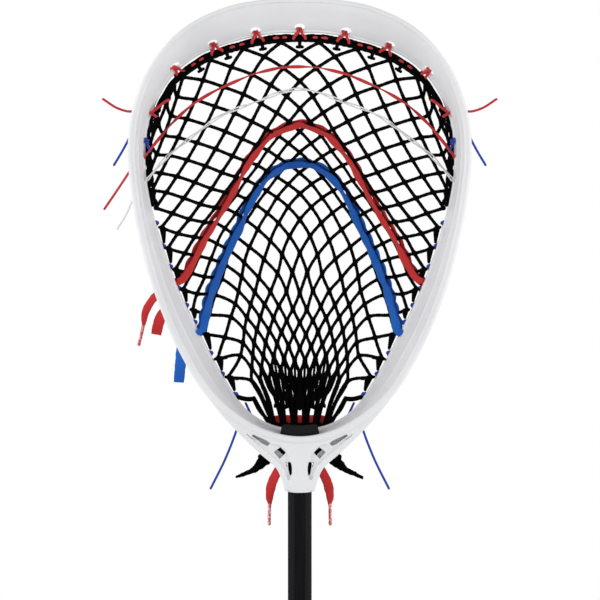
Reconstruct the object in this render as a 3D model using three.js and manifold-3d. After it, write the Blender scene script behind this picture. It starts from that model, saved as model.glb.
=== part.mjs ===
// Lacrosse goalie stick, in millimetres. +Z runs up the shaft to the scoop, the open face of the head looks
// along -Y, and the origin is the middle of the butt end.
import * as THREE from "three";
import { mergeVertices } from "three/addons/utils/BufferGeometryUtils.js";
import Module from "manifold-3d";

const wasm = await Module();
wasm.setup();

// Fits
const gap = 0.3; // between pieces that touch
const overrun = 4; // how far a cutter passes the face it enters
const weld = 0.004; // corners nearer than this are one

// Shaft, an eight-sided tube, and its rubber cap
const shaftLength = 1016;
const shaftWidth = 21.3; // across X
const shaftDepth = 25.4; // across Y
const shaftCorner = 6; // cut off each corner
const shaftWall = 1.6;
const capHeight = 24;
const capFloor = 3.2;
const capWall = 2.2;
const capEdge = 1.4; // chamfer round the butt

// Head
const headHalfWidth = 152.3;
const headHeight = 434.7; // from the collar's lower edge to the scoop's tip
const wallDepth = 48; // side wall, from its front rim to its back rail
const wallHalf = 1.7; // half the side wall's thickness
const frontBead = 3.4; // radius of the front rim
const backBead = 3.2; // radius of the back rail
const socketDepth = 36; // length of shaft inside the head
const socketWall = 2.3;

// Throat, between the collar and the ring
const throatHalf = 84.8; // where its rails run out along the ring
const throatLengthShare = 0.09593; // of the head's height, from the collar's lower edge to the ring
const throatPlate = 3.2; // front plate with the windows
const throatWall = 3;
const topHoleRadius = 3.9; // holes in the scoop
const topHoleInset = 7.4; // from the scoop's inner edge
const tieHoleRadius = 2.3; // string holes in the side walls
const tieHoleInset = 8.6;

// Head screw, through the back of the collar
const screwHeight = 14;
const screwHeadRadius = 4;
const screwHeadHeight = 2.4;
const screwShankRadius = 1.9;
const screwReach = 2.4; // past the inside of the shaft's wall
const screwSlot = 1.1;

// Ball stop
const stopHalfWidth = 16.5;
const stopThickness = 6.4;
const stopFront = 4; // from the front rim's centre line
const stopLength = 30;
const stopLift = 0.8; // off the wall, which is straight between stations

// Mesh: strands between knots, relaxed under the pull of the pocket
const meshColumns = 12; // each side of the centre line
const meshRows = 29;
const meshKnotRows = 26; // below this row the strands are gathered and run straight
const strandHalf = 1.55; // half the width of a strand
const strandThickness = 1.3; // half
const strandTop = 19.8; // strand lengths down the pocket
const strandUpper = 17.6;
const strandMiddle = 15.7;
const strandLower = 19.6;
const strandThroat = 34;
const pocketPush = 0.19; // how far a relaxing step pushes the pocket back
const pocketEase = 0.06;
const pocketSag = 0.017;
const pocketHeight = 263; // middle of the pocket above the collar
const pocketReach = 77;
const channelWidth = 17.3;
const topBand = 7.6; // from the scoop's inner edge to the first knots
const sideBand = 3.2;
const gatherStep = 2.4; // between gathered strands at the throat
const gatherRise = 6.4;
const gatherSet = 4;
const cornerX = 41.2; // where the mesh's lower corners are tied
const cornerZ = 80;
const cornerY = 42;

// Strings and laces
const topStringRadius = 1.15;
const sideStringRadius = 1.1;
const sideKnotRadius = 2;
const shootingRadius = 1.2;
const lieAbove = 1.8; // clearance of the crossing strings off the mesh
const laceHalfWidth = 3.1;
const laceHalf = 1;
const bottomLaceRadius = 1.7;
const tailRadius = 1.1;
const thinTailRadius = 0.9;
const laceTailHalfWidth = 4.1;
const laceTailHalf = 1;
const agletRadius = 1.6;
const meshTailRadius = 6;
const meshTipShare = 0.28;

// Each rim of the ring from the throat to the scoop's tip, as shares of the head's half width, of its height
// above the throat, and of the side wall's depth
const frontRimShares = [
  [0, 0.0001, -0.29],
  [0.184, 0.0122, -0.29],
  [0.355, 0.0454, -0.28],
  [0.535, 0.1052, -0.27],
  [0.699, 0.2058, -0.23],
  [0.837, 0.3308, -0.19],
  [0.931, 0.458, -0.17],
  [0.984, 0.5741, -0.17],
  [1, 0.6726, -0.19],
  [0.966, 0.7644, -0.23],
  [0.864, 0.854, -0.31],
  [0.69, 0.9303, -0.42],
  [0.427, 0.9812, -0.5],
  [0.158, 0.9989, -0.54],
  [0, 1, -0.56],
];
const backRimShares = [
  [0, 0.0299, 0.71],
  [0.16, 0.0388, 0.71],
  [0.307, 0.072, 0.73],
  [0.44, 0.1428, 0.75],
  [0.586, 0.2467, 0.75],
  [0.72, 0.3551, 0.73],
  [0.823, 0.468, 0.71],
  [0.889, 0.5686, 0.67],
  [0.907, 0.6516, 0.6],
  [0.878, 0.7367, 0.5],
  [0.771, 0.8175, 0.35],
  [0.597, 0.875, 0.19],
  [0.357, 0.9093, 0.04],
  [0.131, 0.9248, -0.06],
  [0, 0.9248, -0.08],
];
const scoopBeadShare = 0.72; // the scoop's edges are thinner than the side walls'

// Throat outline as shares of its half width and height: the front, and how far the back leans in
const throatFrontShares = [
  [0.207, 0.157],
  [0.255, 0.2375],
  [0.419, 0.378],
  [0.651, 0.595],
  [0.86, 0.822],
  [1, 1],
  [0.93, 1.02],
  [0.767, 0.835],
  [0.605, 0.71],
  [0.326, 0.568],
  [0, 0.511],
];
const throatBackShares = [
  [0.165, 0.16],
  [0.186, 0.27],
  [0.349, 0.432],
  [0.581, 0.656],
  [0.785, 0.87],
  [0.895, 1],
  [0.851, 1.045],
  [0.709, 0.892],
  [0.57, 0.744],
  [0.297, 0.6],
  [0, 0.547],
];

// Windows in the throat's plate, as shares of its half width and height
const outerWindowShares = [
  [0.486, 0.575],
  [0.3, 0.492],
  [0.348, 0.453],
];
const squareWindowShares = [
  [0.202, 0.445],
  [0.143, 0.39],
  [0.209, 0.33],
  [0.271, 0.397],
];
const slotShares = [
  [0.126, 0.295],
  [0.092, 0.295],
  [0.081, 0.227],
  [0.086, 0.162],
  [0.105, 0.161],
  [0.12, 0.227],
];
const sideSlotShares = [
  [0.15, 0.294],
  [0.13, 0.294],
  [0.13, 0.235],
];

// Places up the side walls and across the scoop, as shares of the head's height and half width
const sideTieShares = [
  0.784, 0.731, 0.697, 0.653, 0.614, 0.577, 0.536, 0.493, 0.449, 0.408, 0.365, 0.3155, 0.264,
];
const topTieShares = [0.114, 0.344, 0.545, 0.714, 0.765, 0.815];
const topBandShares = [1, 1, 1, 0.85, 0.7, 0.65];
const topHoleShares = [0, 0.261, 0.513, 0.738];
const knotHoleShares = [0.715, 0.605, 0.548, 0.5, 0.458, 0.413, 0.378, 0.343, 0.279, 0.236, 0.193];
const topStringHoleShare = 0.773;
const sideStringHoleShare = 0.76;
const lowStringHoleShare = 0.165;
const redStringHoleShare = 0.676;
const whiteStringHoleShare = 0.63;
const redLaceHoleShare = 0.393;
const blueLaceHoleShare = 0.327;
const strandRowShares = [0, 0.17, 0.41, 0.62, 1];

// Middle line of the head, where the relaxed pocket and the ring's own normals start from
const midHeight = headHeight * 0.55;
const throatLength = headHeight * throatLengthShare;
const ringHeight = headHeight - throatLength;
const capOuterWidth = shaftWidth + 2 * (gap + capWall);
const capOuterDepth = shaftDepth + 2 * (gap + capWall);
const shaftStart = capFloor + gap;
const headBase = shaftStart + shaftLength - socketDepth;
const boreWidth = shaftWidth + 2 * gap;
const boreDepth = shaftDepth + 2 * gap;
const collarWidth = boreWidth + 2 * socketWall;
const collarDepth = boreDepth + 2 * socketWall;

// Triangles from a list of corner points, turned to face out
function solid(points) {
  let volume = 0;
  for (let i = 0; i < points.length; i += 3) {
    volume += points[i].dot(points[i + 1].clone().cross(points[i + 2]));
  }
  const corners = [];
  for (let i = 0; i < points.length; i += 3) {
    const [a, b, c] = volume < 0 ? [i, i + 2, i + 1] : [i, i + 1, i + 2];
    for (const k of [a, b, c]) corners.push(points[k].x, points[k].y, points[k].z);
  }
  const geometry = new THREE.BufferGeometry();
  geometry.setAttribute("position", new THREE.Float32BufferAttribute(corners, 3));
  return geometry;
}

// A skin through rings of equal count, closed by fans at its ends or by running round
function skin(rings, looped = false) {
  const points = [];
  const count = rings[0].length;
  const spans = looped ? rings.length : rings.length - 1;
  for (let i = 0; i < spans; i++) {
    const near = rings[i];
    const far = rings[(i + 1) % rings.length];
    for (let j = 0; j < count; j++) {
      const k = (j + 1) % count;
      points.push(near[j], near[k], far[k], near[j], far[k], far[j]);
    }
  }
  if (!looped) {
    const first = rings[0];
    const last = rings[rings.length - 1];
    for (let j = 1; j < count - 1; j++) {
      points.push(first[0], first[j + 1], first[j], last[0], last[j], last[j + 1]);
    }
  }
  return solid(points);
}

// A solid between two outlines of X and Z, one at each depth
function prism(nearOutline, nearY, farOutline, farY) {
  const points = [];
  const near = nearOutline.map(([x, z]) => new THREE.Vector3(x, nearY, z));
  const far = farOutline.map(([x, z]) => new THREE.Vector3(x, farY, z));
  for (let j = 0; j < near.length; j++) {
    const k = (j + 1) % near.length;
    points.push(near[j], near[k], far[k], near[j], far[k], far[j]);
  }
  const flat = nearOutline.map(([x, z]) => new THREE.Vector2(x, z));
  const turn = THREE.ShapeUtils.isClockWise(flat) ? -1 : 1;
  for (const face of THREE.ShapeUtils.triangulateShape(flat, [])) {
    const [a, b, c] = turn > 0 ? face : [face[0], face[2], face[1]];
    points.push(near[a], near[c], near[b], far[a], far[b], far[c]);
  }
  return solid(points);
}

// Library solids for joins and cuts
function body(geometry) {
  const bare = geometry.clone();
  bare.deleteAttribute("normal");
  bare.deleteAttribute("uv");
  const merged = mergeVertices(bare, weld);
  const mesh = new wasm.Mesh({
    numProp: 3,
    vertProperties: merged.attributes.position.array,
    triVerts: new Uint32Array(merged.index.array),
  });
  mesh.merge();
  return new wasm.Manifold(mesh);
}

function geometryOf(manifold) {
  const mesh = manifold.getMesh();
  const geometry = new THREE.BufferGeometry();
  geometry.setAttribute("position", new THREE.BufferAttribute(mesh.vertProperties, 3));
  geometry.setIndex(new THREE.BufferAttribute(mesh.triVerts, 1));
  return geometry;
}

const mirrored = (points) => points.map(([x, z]) => [-x, z]);

// Eight corners of a rectangle with its corners cut off
function octagon(width, depth, corner) {
  const x = width / 2;
  const y = depth / 2;
  return [
    [x, y - corner],
    [x - corner, y],
    [corner - x, y],
    [-x, y - corner],
    [-x, corner - y],
    [corner - x, -y],
    [x - corner, -y],
    [x, corner - y],
  ];
}

const ringAt = (outline, z) => outline.map(([x, y]) => new THREE.Vector3(x, y, z));

// A cylinder along a direction, centred on a point
function drill(radius, length, centre, direction, sides) {
  const cylinder = new THREE.CylinderGeometry(radius, radius, length, sides);
  const turn = new THREE.Quaternion().setFromUnitVectors(new THREE.Vector3(0, 1, 0), direction);
  cylinder.applyQuaternion(turn);
  cylinder.translate(centre.x, centre.y, centre.z);
  return body(cylinder);
}

// The ring's rims as closed curves: half way round is the scoop's tip
function rimCurve(shares) {
  const right = shares.map(
    ([x, z, y]) => new THREE.Vector3(x * headHalfWidth, y * wallDepth, throatLength + z * ringHeight),
  );
  const left = right.slice(1, -1).map((p) => new THREE.Vector3(-p.x, p.y, p.z));
  return new THREE.CatmullRomCurve3([...right, ...left.reverse()], true, "centripetal");
}
const frontRim = rimCurve(frontRimShares);
const backRim = rimCurve(backRimShares);

// Direction towards the inside of the loop, in the plane of X and Z
function inwards(curve, u) {
  const along = curve.getTangent(u);
  const point = curve.getPoint(u);
  const side = new THREE.Vector3(along.z, 0, -along.x).normalize();
  const middle = new THREE.Vector3(-point.x, 0, midHeight - point.z);
  return side.dot(middle) < 0 ? side.negate() : side;
}

// Section of the ring at a place on the loop
function station(u) {
  const front = frontRim.getPoint(u);
  const back = backRim.getPoint(u);
  const high = THREE.MathUtils.smoothstep(back.z, headHeight * 0.8, headHeight * 0.93);
  const slim = 1 - (1 - scoopBeadShare) * high;
  const frontIn = inwards(frontRim, u);
  const backIn = inwards(backRim, u);
  const frontCentre = front.clone().addScaledVector(frontIn, frontBead * slim);
  const backCentre = back.clone().addScaledVector(backIn, -backBead * slim);
  const across = backCentre.clone().sub(frontCentre);
  const depth = across.length();
  across.normalize();
  const inner = frontRim.getTangent(u).cross(across).normalize();
  if (inner.dot(backIn) < 0) inner.negate();
  return { front, back, frontCentre, backCentre, across, inner, depth, slim, backIn };
}

// A point of the wall's section: along it from the front bead, and off it towards the inside
function onWall(place, along, off) {
  return place.frontCentre
    .clone()
    .addScaledVector(place.across, along)
    .addScaledVector(place.inner, off);
}

// The place on the right side of the loop where the back rail reaches a height, or up there a width
function placeWhere(test) {
  let low = 0;
  let high = 0.5;
  for (let i = 0; i < 40; i++) {
    const middle = (low + high) / 2;
    if (test(backRim.getPoint(middle))) high = middle;
    else low = middle;
  }
  return low;
}
const placeAtHeight = (z) => placeWhere((p) => p.z > z);
const placeAtWidth = (x) => placeWhere((p) => p.z > headHeight * 0.7 && p.x < x);
const otherSide = (u) => (1 - u) % 1;

// The throat's rails run up to where the ring is as wide as they are
function rimHeightAt(x) {
  let low = 0;
  let high = 0.25;
  for (let i = 0; i < 40; i++) {
    const middle = (low + high) / 2;
    if (frontRim.getPoint(middle).x > x) high = middle;
    else low = middle;
  }
  return frontRim.getPoint(low).z;
}
const throatHeight = rimHeightAt(throatHalf);

function ringBody() {
  const stations = 60;
  const beadTurns = [45, 90, 135, 180, 225, 270, 315];
  const neckShare = 1.45;
  const rings = [];
  for (let i = 0; i < stations; i++) {
    const place = station(i / stations);
    const front = frontBead * place.slim;
    const back = backBead * place.slim;
    const section = beadTurns.map((turn) => {
      const angle = THREE.MathUtils.degToRad(turn);
      return [front * Math.cos(angle), front * Math.sin(angle)];
    });
    section.push([front * neckShare, -wallHalf], [place.depth - back * neckShare, -wallHalf]);
    for (const turn of beadTurns) {
      const angle = THREE.MathUtils.degToRad(turn + 180);
      section.push([place.depth + back * Math.cos(angle), back * Math.sin(angle)]);
    }
    section.push([place.depth - back * neckShare, wallHalf], [front * neckShare, wallHalf]);
    rings.push(section.map(([along, off]) => onWall(place, along, off)));
  }
  return body(skin(rings, true));
}

// Outline moved inwards by a wall's thickness
function inset(outline, distance) {
  const count = outline.length;
  let area = 0;
  for (let i = 0; i < count; i++) {
    const [x0, z0] = outline[i];
    const [x1, z1] = outline[(i + 1) % count];
    area += x0 * z1 - x1 * z0;
  }
  const side = Math.sign(area) * distance;
  return outline.map(([x, z], i) => {
    const [xa, za] = outline[(i + count - 1) % count];
    const [xb, zb] = outline[(i + 1) % count];
    const before = new THREE.Vector2(x - xa, z - za).normalize();
    const after = new THREE.Vector2(xb - x, zb - z).normalize();
    const mitre = new THREE.Vector2(-before.y - after.y, before.x + after.x);
    const scale = (2 * side) / mitre.lengthSq();
    return [x + mitre.x * scale, z + mitre.y * scale];
  });
}

const throatTips = [5, 6]; // outline points past the hollow
function throatOutline(shares) {
  const right = shares.map(([x, z]) => [x * throatHalf, z * throatHeight]);
  const collar = [collarWidth / 2, 0];
  const half = [collar, ...right];
  return [...half, ...mirrored(half.slice(0, -1)).reverse()];
}

function headBody() {
  const faceY = -collarDepth / 2;
  const front = throatOutline(throatFrontShares);
  const back = throatOutline(throatBackShares);
  let head = ringBody().add(body(prism(front, faceY, back, -faceY)));

  // the throat is hollow behind its plate
  const withoutTips = (shares) => shares.filter((_, i) => !throatTips.includes(i));
  const hollow = (shares) => inset(throatOutline(withoutTips(shares)), throatWall);
  const hollowFront = hollow(throatFrontShares);
  const hollowBack = hollow(throatBackShares);
  head = head.subtract(body(prism(hollowFront, faceY + throatPlate, hollowBack, overrun - faceY)));

  // socket round the shaft
  const outer = octagon(collarWidth, collarDepth, shaftCorner);
  const bore = octagon(boreWidth, boreDepth, shaftCorner);
  head = head.add(body(skin([ringAt(outer, 0), ringAt(outer, socketDepth + socketWall)])));
  head = head.subtract(body(skin([ringAt(bore, -overrun), ringAt(bore, socketDepth + gap)])));

  // windows
  const scaled = (shares) => shares.map(([x, z]) => [x * throatHalf, z * throatHeight]);
  const plateBack = faceY + throatPlate + gap;
  const windows = [
    [scaled(outerWindowShares), plateBack],
    [scaled(squareWindowShares), plateBack],
    [scaled(slotShares), 0],
    [scaled(sideSlotShares), overrun - faceY],
  ];
  for (const [outline, farY] of windows) {
    for (const shape of [outline, mirrored(outline)]) {
      head = head.subtract(body(prism(shape, faceY - overrun, shape, farY)));
    }
  }

  // screw hole
  const backwards = new THREE.Vector3(0, 1, 0);
  const screwCentre = new THREE.Vector3(0, collarDepth / 2, screwHeight);
  const screwHole = drill(screwShankRadius + gap, 2 * (socketWall + gap), screwCentre, backwards, 12);
  head = head.subtract(screwHole);

  // string holes
  for (const share of topHoleShares) {
    const u = placeAtWidth(share * headHalfWidth);
    for (const side of share > 0 ? [u, otherSide(u)] : [0.5]) {
      const place = station(side);
      const centre = onWall(place, place.depth - topHoleInset, 0);
      head = head.subtract(drill(topHoleRadius, 4 * frontBead, centre, place.inner, 14));
    }
  }
  const passages = [
    topStringHoleShare,
    sideStringHoleShare,
    redStringHoleShare,
    whiteStringHoleShare,
    redLaceHoleShare,
    blueLaceHoleShare,
    lowStringHoleShare,
  ];
  for (const share of [...knotHoleShares, ...passages]) {
    const u = placeAtHeight(share * headHeight);
    for (const side of [u, otherSide(u)]) {
      const place = station(side);
      const centre = onWall(place, place.depth - tieHoleInset, 0);
      head = head.subtract(drill(tieHoleRadius, 3 * frontBead, centre, place.inner, 6));
    }
  }
  return geometryOf(head);
}

// Shaft, with the hole for the head screw
function shaftGeometry() {
  const outline = new THREE.Shape(
    octagon(shaftWidth, shaftDepth, shaftCorner).map(([x, y]) => new THREE.Vector2(x, y)),
  );
  const inside = octagon(shaftWidth - 2 * shaftWall, shaftDepth - 2 * shaftWall, shaftCorner - shaftWall / 2);
  outline.holes.push(new THREE.Path(inside.map(([x, y]) => new THREE.Vector2(x, y))));
  const tube = new THREE.ExtrudeGeometry(outline, { depth: shaftLength, bevelEnabled: false });
  const height = shaftLength - socketDepth + screwHeight;
  const centre = new THREE.Vector3(0, shaftDepth / 2, height);
  const hole = drill(screwShankRadius + gap, 2 * (shaftWall + gap), centre, new THREE.Vector3(0, 1, 0), 12);
  return geometryOf(body(tube).subtract(hole));
}

// Rubber cup on the shaft's lower end
function capGeometry() {
  const corner = shaftCorner + gap;
  const outside = octagon(capOuterWidth, capOuterDepth, corner);
  const foot = octagon(capOuterWidth - 2 * capEdge, capOuterDepth - 2 * capEdge, corner - capEdge / 2);
  const inside = octagon(shaftWidth + 2 * gap, shaftDepth + 2 * gap, shaftCorner);
  return skin([
    ringAt(foot, 0),
    ringAt(outside, capEdge),
    ringAt(outside, capHeight),
    ringAt(inside, capHeight),
    ringAt(inside, capFloor),
  ]);
}

// Pan-headed screw with a slot, lying along Y
function screwGeometry() {
  const shank = socketWall + gap + shaftWall + screwReach + gap;
  const profile = [
    [0, -shank],
    [screwShankRadius * 0.7, -shank],
    [screwShankRadius, screwShankRadius * 0.3 - shank],
    [screwShankRadius, 0],
    [screwHeadRadius, 0],
    [screwHeadRadius, screwHeadHeight * 0.45],
    [screwHeadRadius * 0.8, screwHeadHeight * 0.85],
    [screwHeadRadius * 0.4, screwHeadHeight],
    [0, screwHeadHeight],
  ].map(([r, y]) => new THREE.Vector2(r, y));
  const screw = body(new THREE.LatheGeometry(profile, 16));
  const slot = new THREE.BoxGeometry(3 * screwHeadRadius, screwSlot, screwSlot);
  slot.translate(0, screwHeadHeight, 0);
  return geometryOf(screw.subtract(body(slot)));
}

// Foam pad on the inside of the ring at the throat
function stopGeometry() {
  const steps = 8;
  const place0 = station(0);
  const rings = [];
  for (let i = 0; i <= steps; i++) {
    const x = stopHalfWidth * ((2 * i) / steps - 1);
    const right = placeWhere((p) => p.x > Math.abs(x) || p.z > midHeight);
    const place = station(x < 0 ? otherSide(right) : right);
    const low = wallHalf + stopLift;
    const top = low + stopThickness;
    const end = stopFront + Math.min(stopLength, place0.depth - backBead - stopFront);
    rings.push([
      onWall(place, stopFront, low),
      onWall(place, end, low),
      onWall(place, end, top - stopThickness * 0.2),
      onWall(place, end - stopThickness * 0.2, top),
      onWall(place, stopFront + stopThickness * 0.2, top),
      onWall(place, stopFront, top - stopThickness * 0.2),
    ]);
  }
  return skin(rings);
}

// Mesh lattice: knots stand where column and row add up to an odd number
const knotKey = (c, r) => `${c},${r}`;
const isKnot = (c, r) => Math.abs(c) <= meshColumns && r >= 0 && r <= meshRows && (c + r) % 2 !== 0;

// Where a column's side knot or top knot is tied to the ring
function tiePoint(c, r) {
  const sideways = Math.sign(c);
  if (r === 0) {
    const k = (Math.abs(c) - 1) / 2;
    const place = station(placeAtWidth(topTieShares[k] * headHalfWidth));
    const tie = place.back.clone().addScaledVector(place.backIn, topBand * topBandShares[k]);
    return new THREE.Vector3(sideways * tie.x, tie.y, tie.z);
  }
  if (r === meshRows) {
    const x = c * gatherStep;
    const throat = station(0).back;
    return new THREE.Vector3(x, throat.y + gatherSet, throat.z + gatherRise + (x * x) / (2 * headHalfWidth));
  }
  if (Math.abs(c) < meshColumns) return null;
  const k = (r - 1) / 2;
  if (k < sideTieShares.length) {
    const place = station(placeAtHeight(sideTieShares[k] * headHeight));
    const tie = place.back.clone().addScaledVector(place.backIn, sideBand);
    return new THREE.Vector3(sideways * tie.x, tie.y, tie.z);
  }
  return new THREE.Vector3(sideways * cornerX, cornerY, cornerZ);
}

// Strand length wanted at a row
function strandLength(row) {
  const lengths = [strandTop, strandUpper, strandMiddle, strandLower, strandThroat];
  const share = row / (meshRows - 1);
  let k = 1;
  while (share > strandRowShares[k]) k += 1;
  const part = (share - strandRowShares[k - 1]) / (strandRowShares[k] - strandRowShares[k - 1]);
  return lengths[k - 1] + (lengths[k] - lengths[k - 1]) * part;
}

function relaxedMesh() {
  const rounds = 420;
  const passes = 14;
  const overRelax = 1.6;
  const knots = new Map();
  const high = headHeight * 0.91;
  const low = headHeight * 0.14;
  for (let r = 0; r <= meshRows; r++) {
    for (let c = -meshColumns; c <= meshColumns; c++) {
      if (!isKnot(c, r)) continue;
      const tie = tiePoint(c, r);
      const down = r / meshRows;
      const narrow = 1 - 1.15 * Math.max(0, down - 0.35);
      const bulge = Math.sin(Math.PI * down) * (1 - (c / (meshColumns + 1)) ** 2);
      const start = new THREE.Vector3(
        (c / meshColumns) * headHalfWidth * 0.83 * narrow,
        wallDepth * (0.6 + 1.25 * bulge),
        high + (low - high) * down,
      );
      const held = tie !== null;
      knots.set(knotKey(c, r), { c, r, at: tie ?? start, held, move: new THREE.Vector3(), links: 0 });
    }
  }
  const strands = [];
  for (const knot of knots.values()) {
    for (const step of [-1, 1]) {
      const next = knots.get(knotKey(knot.c + step, knot.r + 1));
      if (!next) continue;
      strands.push({ a: knot, b: next, length: strandLength(knot.r) });
      knot.links += 1;
      next.links += 1;
    }
  }
  const reach = new THREE.Vector3();
  for (let round = 0; round < rounds; round++) {
    const ease = round < rounds * 0.6 ? 1 : 0.25;
    for (const { at, held } of knots.values()) {
      if (held) continue;
      const middle = Math.exp(-((at.x / channelWidth) ** 2));
      const swell = Math.exp(-(((at.z - pocketHeight) / pocketReach) ** 2)) * middle;
      at.y += ease * (pocketPush * swell + pocketEase);
      at.z -= ease * pocketSag * middle;
    }
    for (let pass = 0; pass < passes; pass++) {
      for (const { a, b, length } of strands) {
        reach.copy(b.at).sub(a.at);
        const now = reach.length();
        if (now <= length) continue;
        const shares = (a.held ? 0 : 1) + (b.held ? 0 : 1);
        if (shares === 0) continue;
        reach.multiplyScalar((now - length) / (now * shares));
        if (!a.held) a.move.add(reach);
        if (!b.held) b.move.sub(reach);
      }
      for (const { at, move, links } of knots.values()) {
        at.addScaledVector(move, overRelax / links);
        move.setScalar(0);
      }
    }
  }
  return knots;
}
const knots = relaxedMesh();
const knotAt = (c, r) => knots.get(knotKey(c, r));

// The gathered strands reach down to the lace at the throat
for (let c = 1 - meshColumns; c < meshColumns; c += 2) {
  const ends = [knotAt(c - 1, meshRows), knotAt(c + 1, meshRows)];
  knotAt(c, meshRows - 1).at.addVectors(ends[0].at, ends[1].at).divideScalar(2);
}

// Backward normal of the mesh at a knot
function meshNormal({ c, r, at }) {
  const near = (dc, dr) => (knotAt(c + dc, r + dr)?.at ?? at);
  const across = near(1, 1).clone().add(near(1, -1)).sub(near(-1, 1)).sub(near(-1, -1));
  const up = near(1, -1).clone().add(near(-1, -1)).sub(near(1, 1)).sub(near(-1, 1));
  return up.cross(across).normalize();
}
for (const knot of knots.values()) knot.normal = meshNormal(knot);

// A point on the mesh between knots, lifted off its front
function onMesh(c, r, lift) {
  const a = (c + r + 1) / 2;
  const b = (r - c + 1) / 2;
  const a0 = Math.floor(a);
  const b0 = Math.floor(b);
  const point = new THREE.Vector3();
  const normal = new THREE.Vector3();
  let total = 0;
  for (const [i, j] of [[0, 0], [0, 1], [1, 0], [1, 1]]) {
    const knot = knotAt(a0 + i - (b0 + j), a0 + i + (b0 + j) - 1);
    const weight = (i ? a - a0 : 1 - a + a0) * (j ? b - b0 : 1 - b + b0);
    if (!knot || weight <= 0) continue;
    point.addScaledVector(knot.at, weight);
    normal.addScaledVector(knot.normal, weight);
    total += weight;
  }
  normal.normalize();
  return { point: point.divideScalar(total).addScaledVector(normal, -lift), normal };
}

// Flat pads at the knots joined by four-sided strands, as one closed skin
function meshGeometry() {
  const links = new Map();
  const link = (a, b) => {
    for (const [from, to] of [[a, b], [b, a]]) {
      if (!links.has(from)) links.set(from, []);
      links.get(from).push({ to, corners: null });
    }
  };
  for (const knot of knots.values()) {
    for (const step of [-1, 1]) {
      const next = knotAt(knot.c + step, knot.r + 1);
      const edge = Math.abs(knot.c + step) === meshColumns && knot.r === meshKnotRows;
      if (next && (knot.r < meshKnotRows || edge)) link(knot, next);
    }
    const beside = knotAt(knot.c + 2, 0);
    if (knot.r === 0 && beside) link(knot, beside);
    const below = knotAt(knot.c, knot.r + 2);
    const gathered = knot.r === meshKnotRows || (Math.abs(knot.c) === meshColumns && knot.r > meshKnotRows);
    if (below && gathered) link(knot, below);
  }

  const points = [];
  const quad = (a, b, c, d) => points.push(a, b, c, a, c, d);
  for (const [knot, ends] of links) {
    const right = new THREE.Vector3(1, 0, 0).projectOnPlane(knot.normal).normalize();
    const up = new THREE.Vector3().crossVectors(right, knot.normal).negate();
    for (const end of ends) {
      const reach = end.to.at.clone().sub(knot.at);
      end.length = reach.length();
      end.along = reach.projectOnPlane(knot.normal).normalize();
      end.angle = Math.atan2(end.along.dot(up), end.along.dot(right));
    }
    ends.sort((p, q) => p.angle - q.angle);
    let half = strandHalf;
    for (let i = 0; i < ends.length; i++) {
      const next = ends[(i + 1) % ends.length];
      if (next === ends[i]) continue;
      half = Math.min(half, 0.16 * next.to.at.distanceTo(ends[i].to.at));
    }
    knot.half = half;
    const beside = ({ angle }, reach) =>
      up.clone().multiplyScalar(reach * Math.cos(angle)).addScaledVector(right, -reach * Math.sin(angle));
    const outline = [];
    ends.forEach((end, i) => {
      const next = ends[(i + 1) % ends.length];
      let opening = next.angle - end.angle;
      if (opening <= 0) opening += 2 * Math.PI;
      const first = outline.length;
      const place = (vector) => outline.push(vector.add(knot.at));
      const leftOf = beside(end, half);
      const rightOf = beside(next, -half);
      if (opening < 2.6) {
        const middle = end.along.clone().add(next.along).normalize();
        const mitre = Math.min(half / Math.sin(opening / 2), 0.42 * Math.min(end.length, next.length));
        place(middle.multiplyScalar(mitre));
      } else if (opening < 4) {
        place(leftOf);
        place(rightOf);
      } else {
        place(leftOf.clone());
        place(leftOf.clone().addScaledVector(end.along, -half));
        place(rightOf.clone().addScaledVector(next.along, -half));
        place(rightOf.clone());
      }
      end.after = first;
      next.before = outline.length - 1;
    });
    const lift = knot.normal.clone().multiplyScalar(Math.min(strandThickness, half));
    const front = outline.map((p) => p.clone().sub(lift));
    const back = outline.map((p) => p.clone().add(lift));
    const centre = knot.at.clone();
    const frontMiddle = centre.clone().sub(lift);
    const backMiddle = centre.clone().add(lift);
    const open = new Set(ends.map((end) => end.before));
    for (let i = 0; i < outline.length; i++) {
      const k = (i + 1) % outline.length;
      if (outline.length > 4) {
        points.push(frontMiddle, front[i], front[k], backMiddle, back[k], back[i]);
      } else if (i > 0 && i < outline.length - 1) {
        points.push(front[0], front[i], front[k], back[0], back[k], back[i]);
      }
      if (!open.has(i)) quad(front[i], back[i], back[k], front[k]);
    }
    for (const end of ends) {
      end.corners = [front[end.before], front[end.after], back[end.after], back[end.before]];
    }
  }
  for (const [knot, ends] of links) {
    for (const end of ends) {
      const other = links.get(end.to).find((back) => back.to === knot);
      if (end.done || other.done) continue;
      end.done = true;
      const [nearRight, nearLeft, nearLeftBack, nearRightBack] = end.corners;
      const [farRight, farLeft, farLeftBack, farRightBack] = other.corners;
      quad(nearRight, farLeft, farRight, nearLeft);
      quad(nearLeft, farRight, farRightBack, nearLeftBack);
      quad(nearLeftBack, farRightBack, farLeftBack, nearRightBack);
      quad(nearRightBack, farLeftBack, farLeft, nearRight);
    }
  }
  return solid(points);
}

// Rings along a path: a section of offsets across and off the surface that it lies on
function ribbonRings(places, halfWidth, half) {
  const corner = 0.6;
  const section = [
    [1, 0],
    [corner, 1],
    [-corner, 1],
    [-1, 0],
    [-corner, -1],
    [corner, -1],
  ];
  return places.map(({ point, normal }, i) => {
    const before = places[Math.max(i - 1, 0)].point;
    const after = places[Math.min(i + 1, places.length - 1)].point;
    const along = after.clone().sub(before).normalize();
    const across = new THREE.Vector3().crossVectors(along, normal).normalize();
    const off = new THREE.Vector3().crossVectors(across, along);
    return section.map(([a, b]) =>
      point.clone().addScaledVector(across, a * halfWidth).addScaledVector(off, b * half),
    );
  });
}

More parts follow.
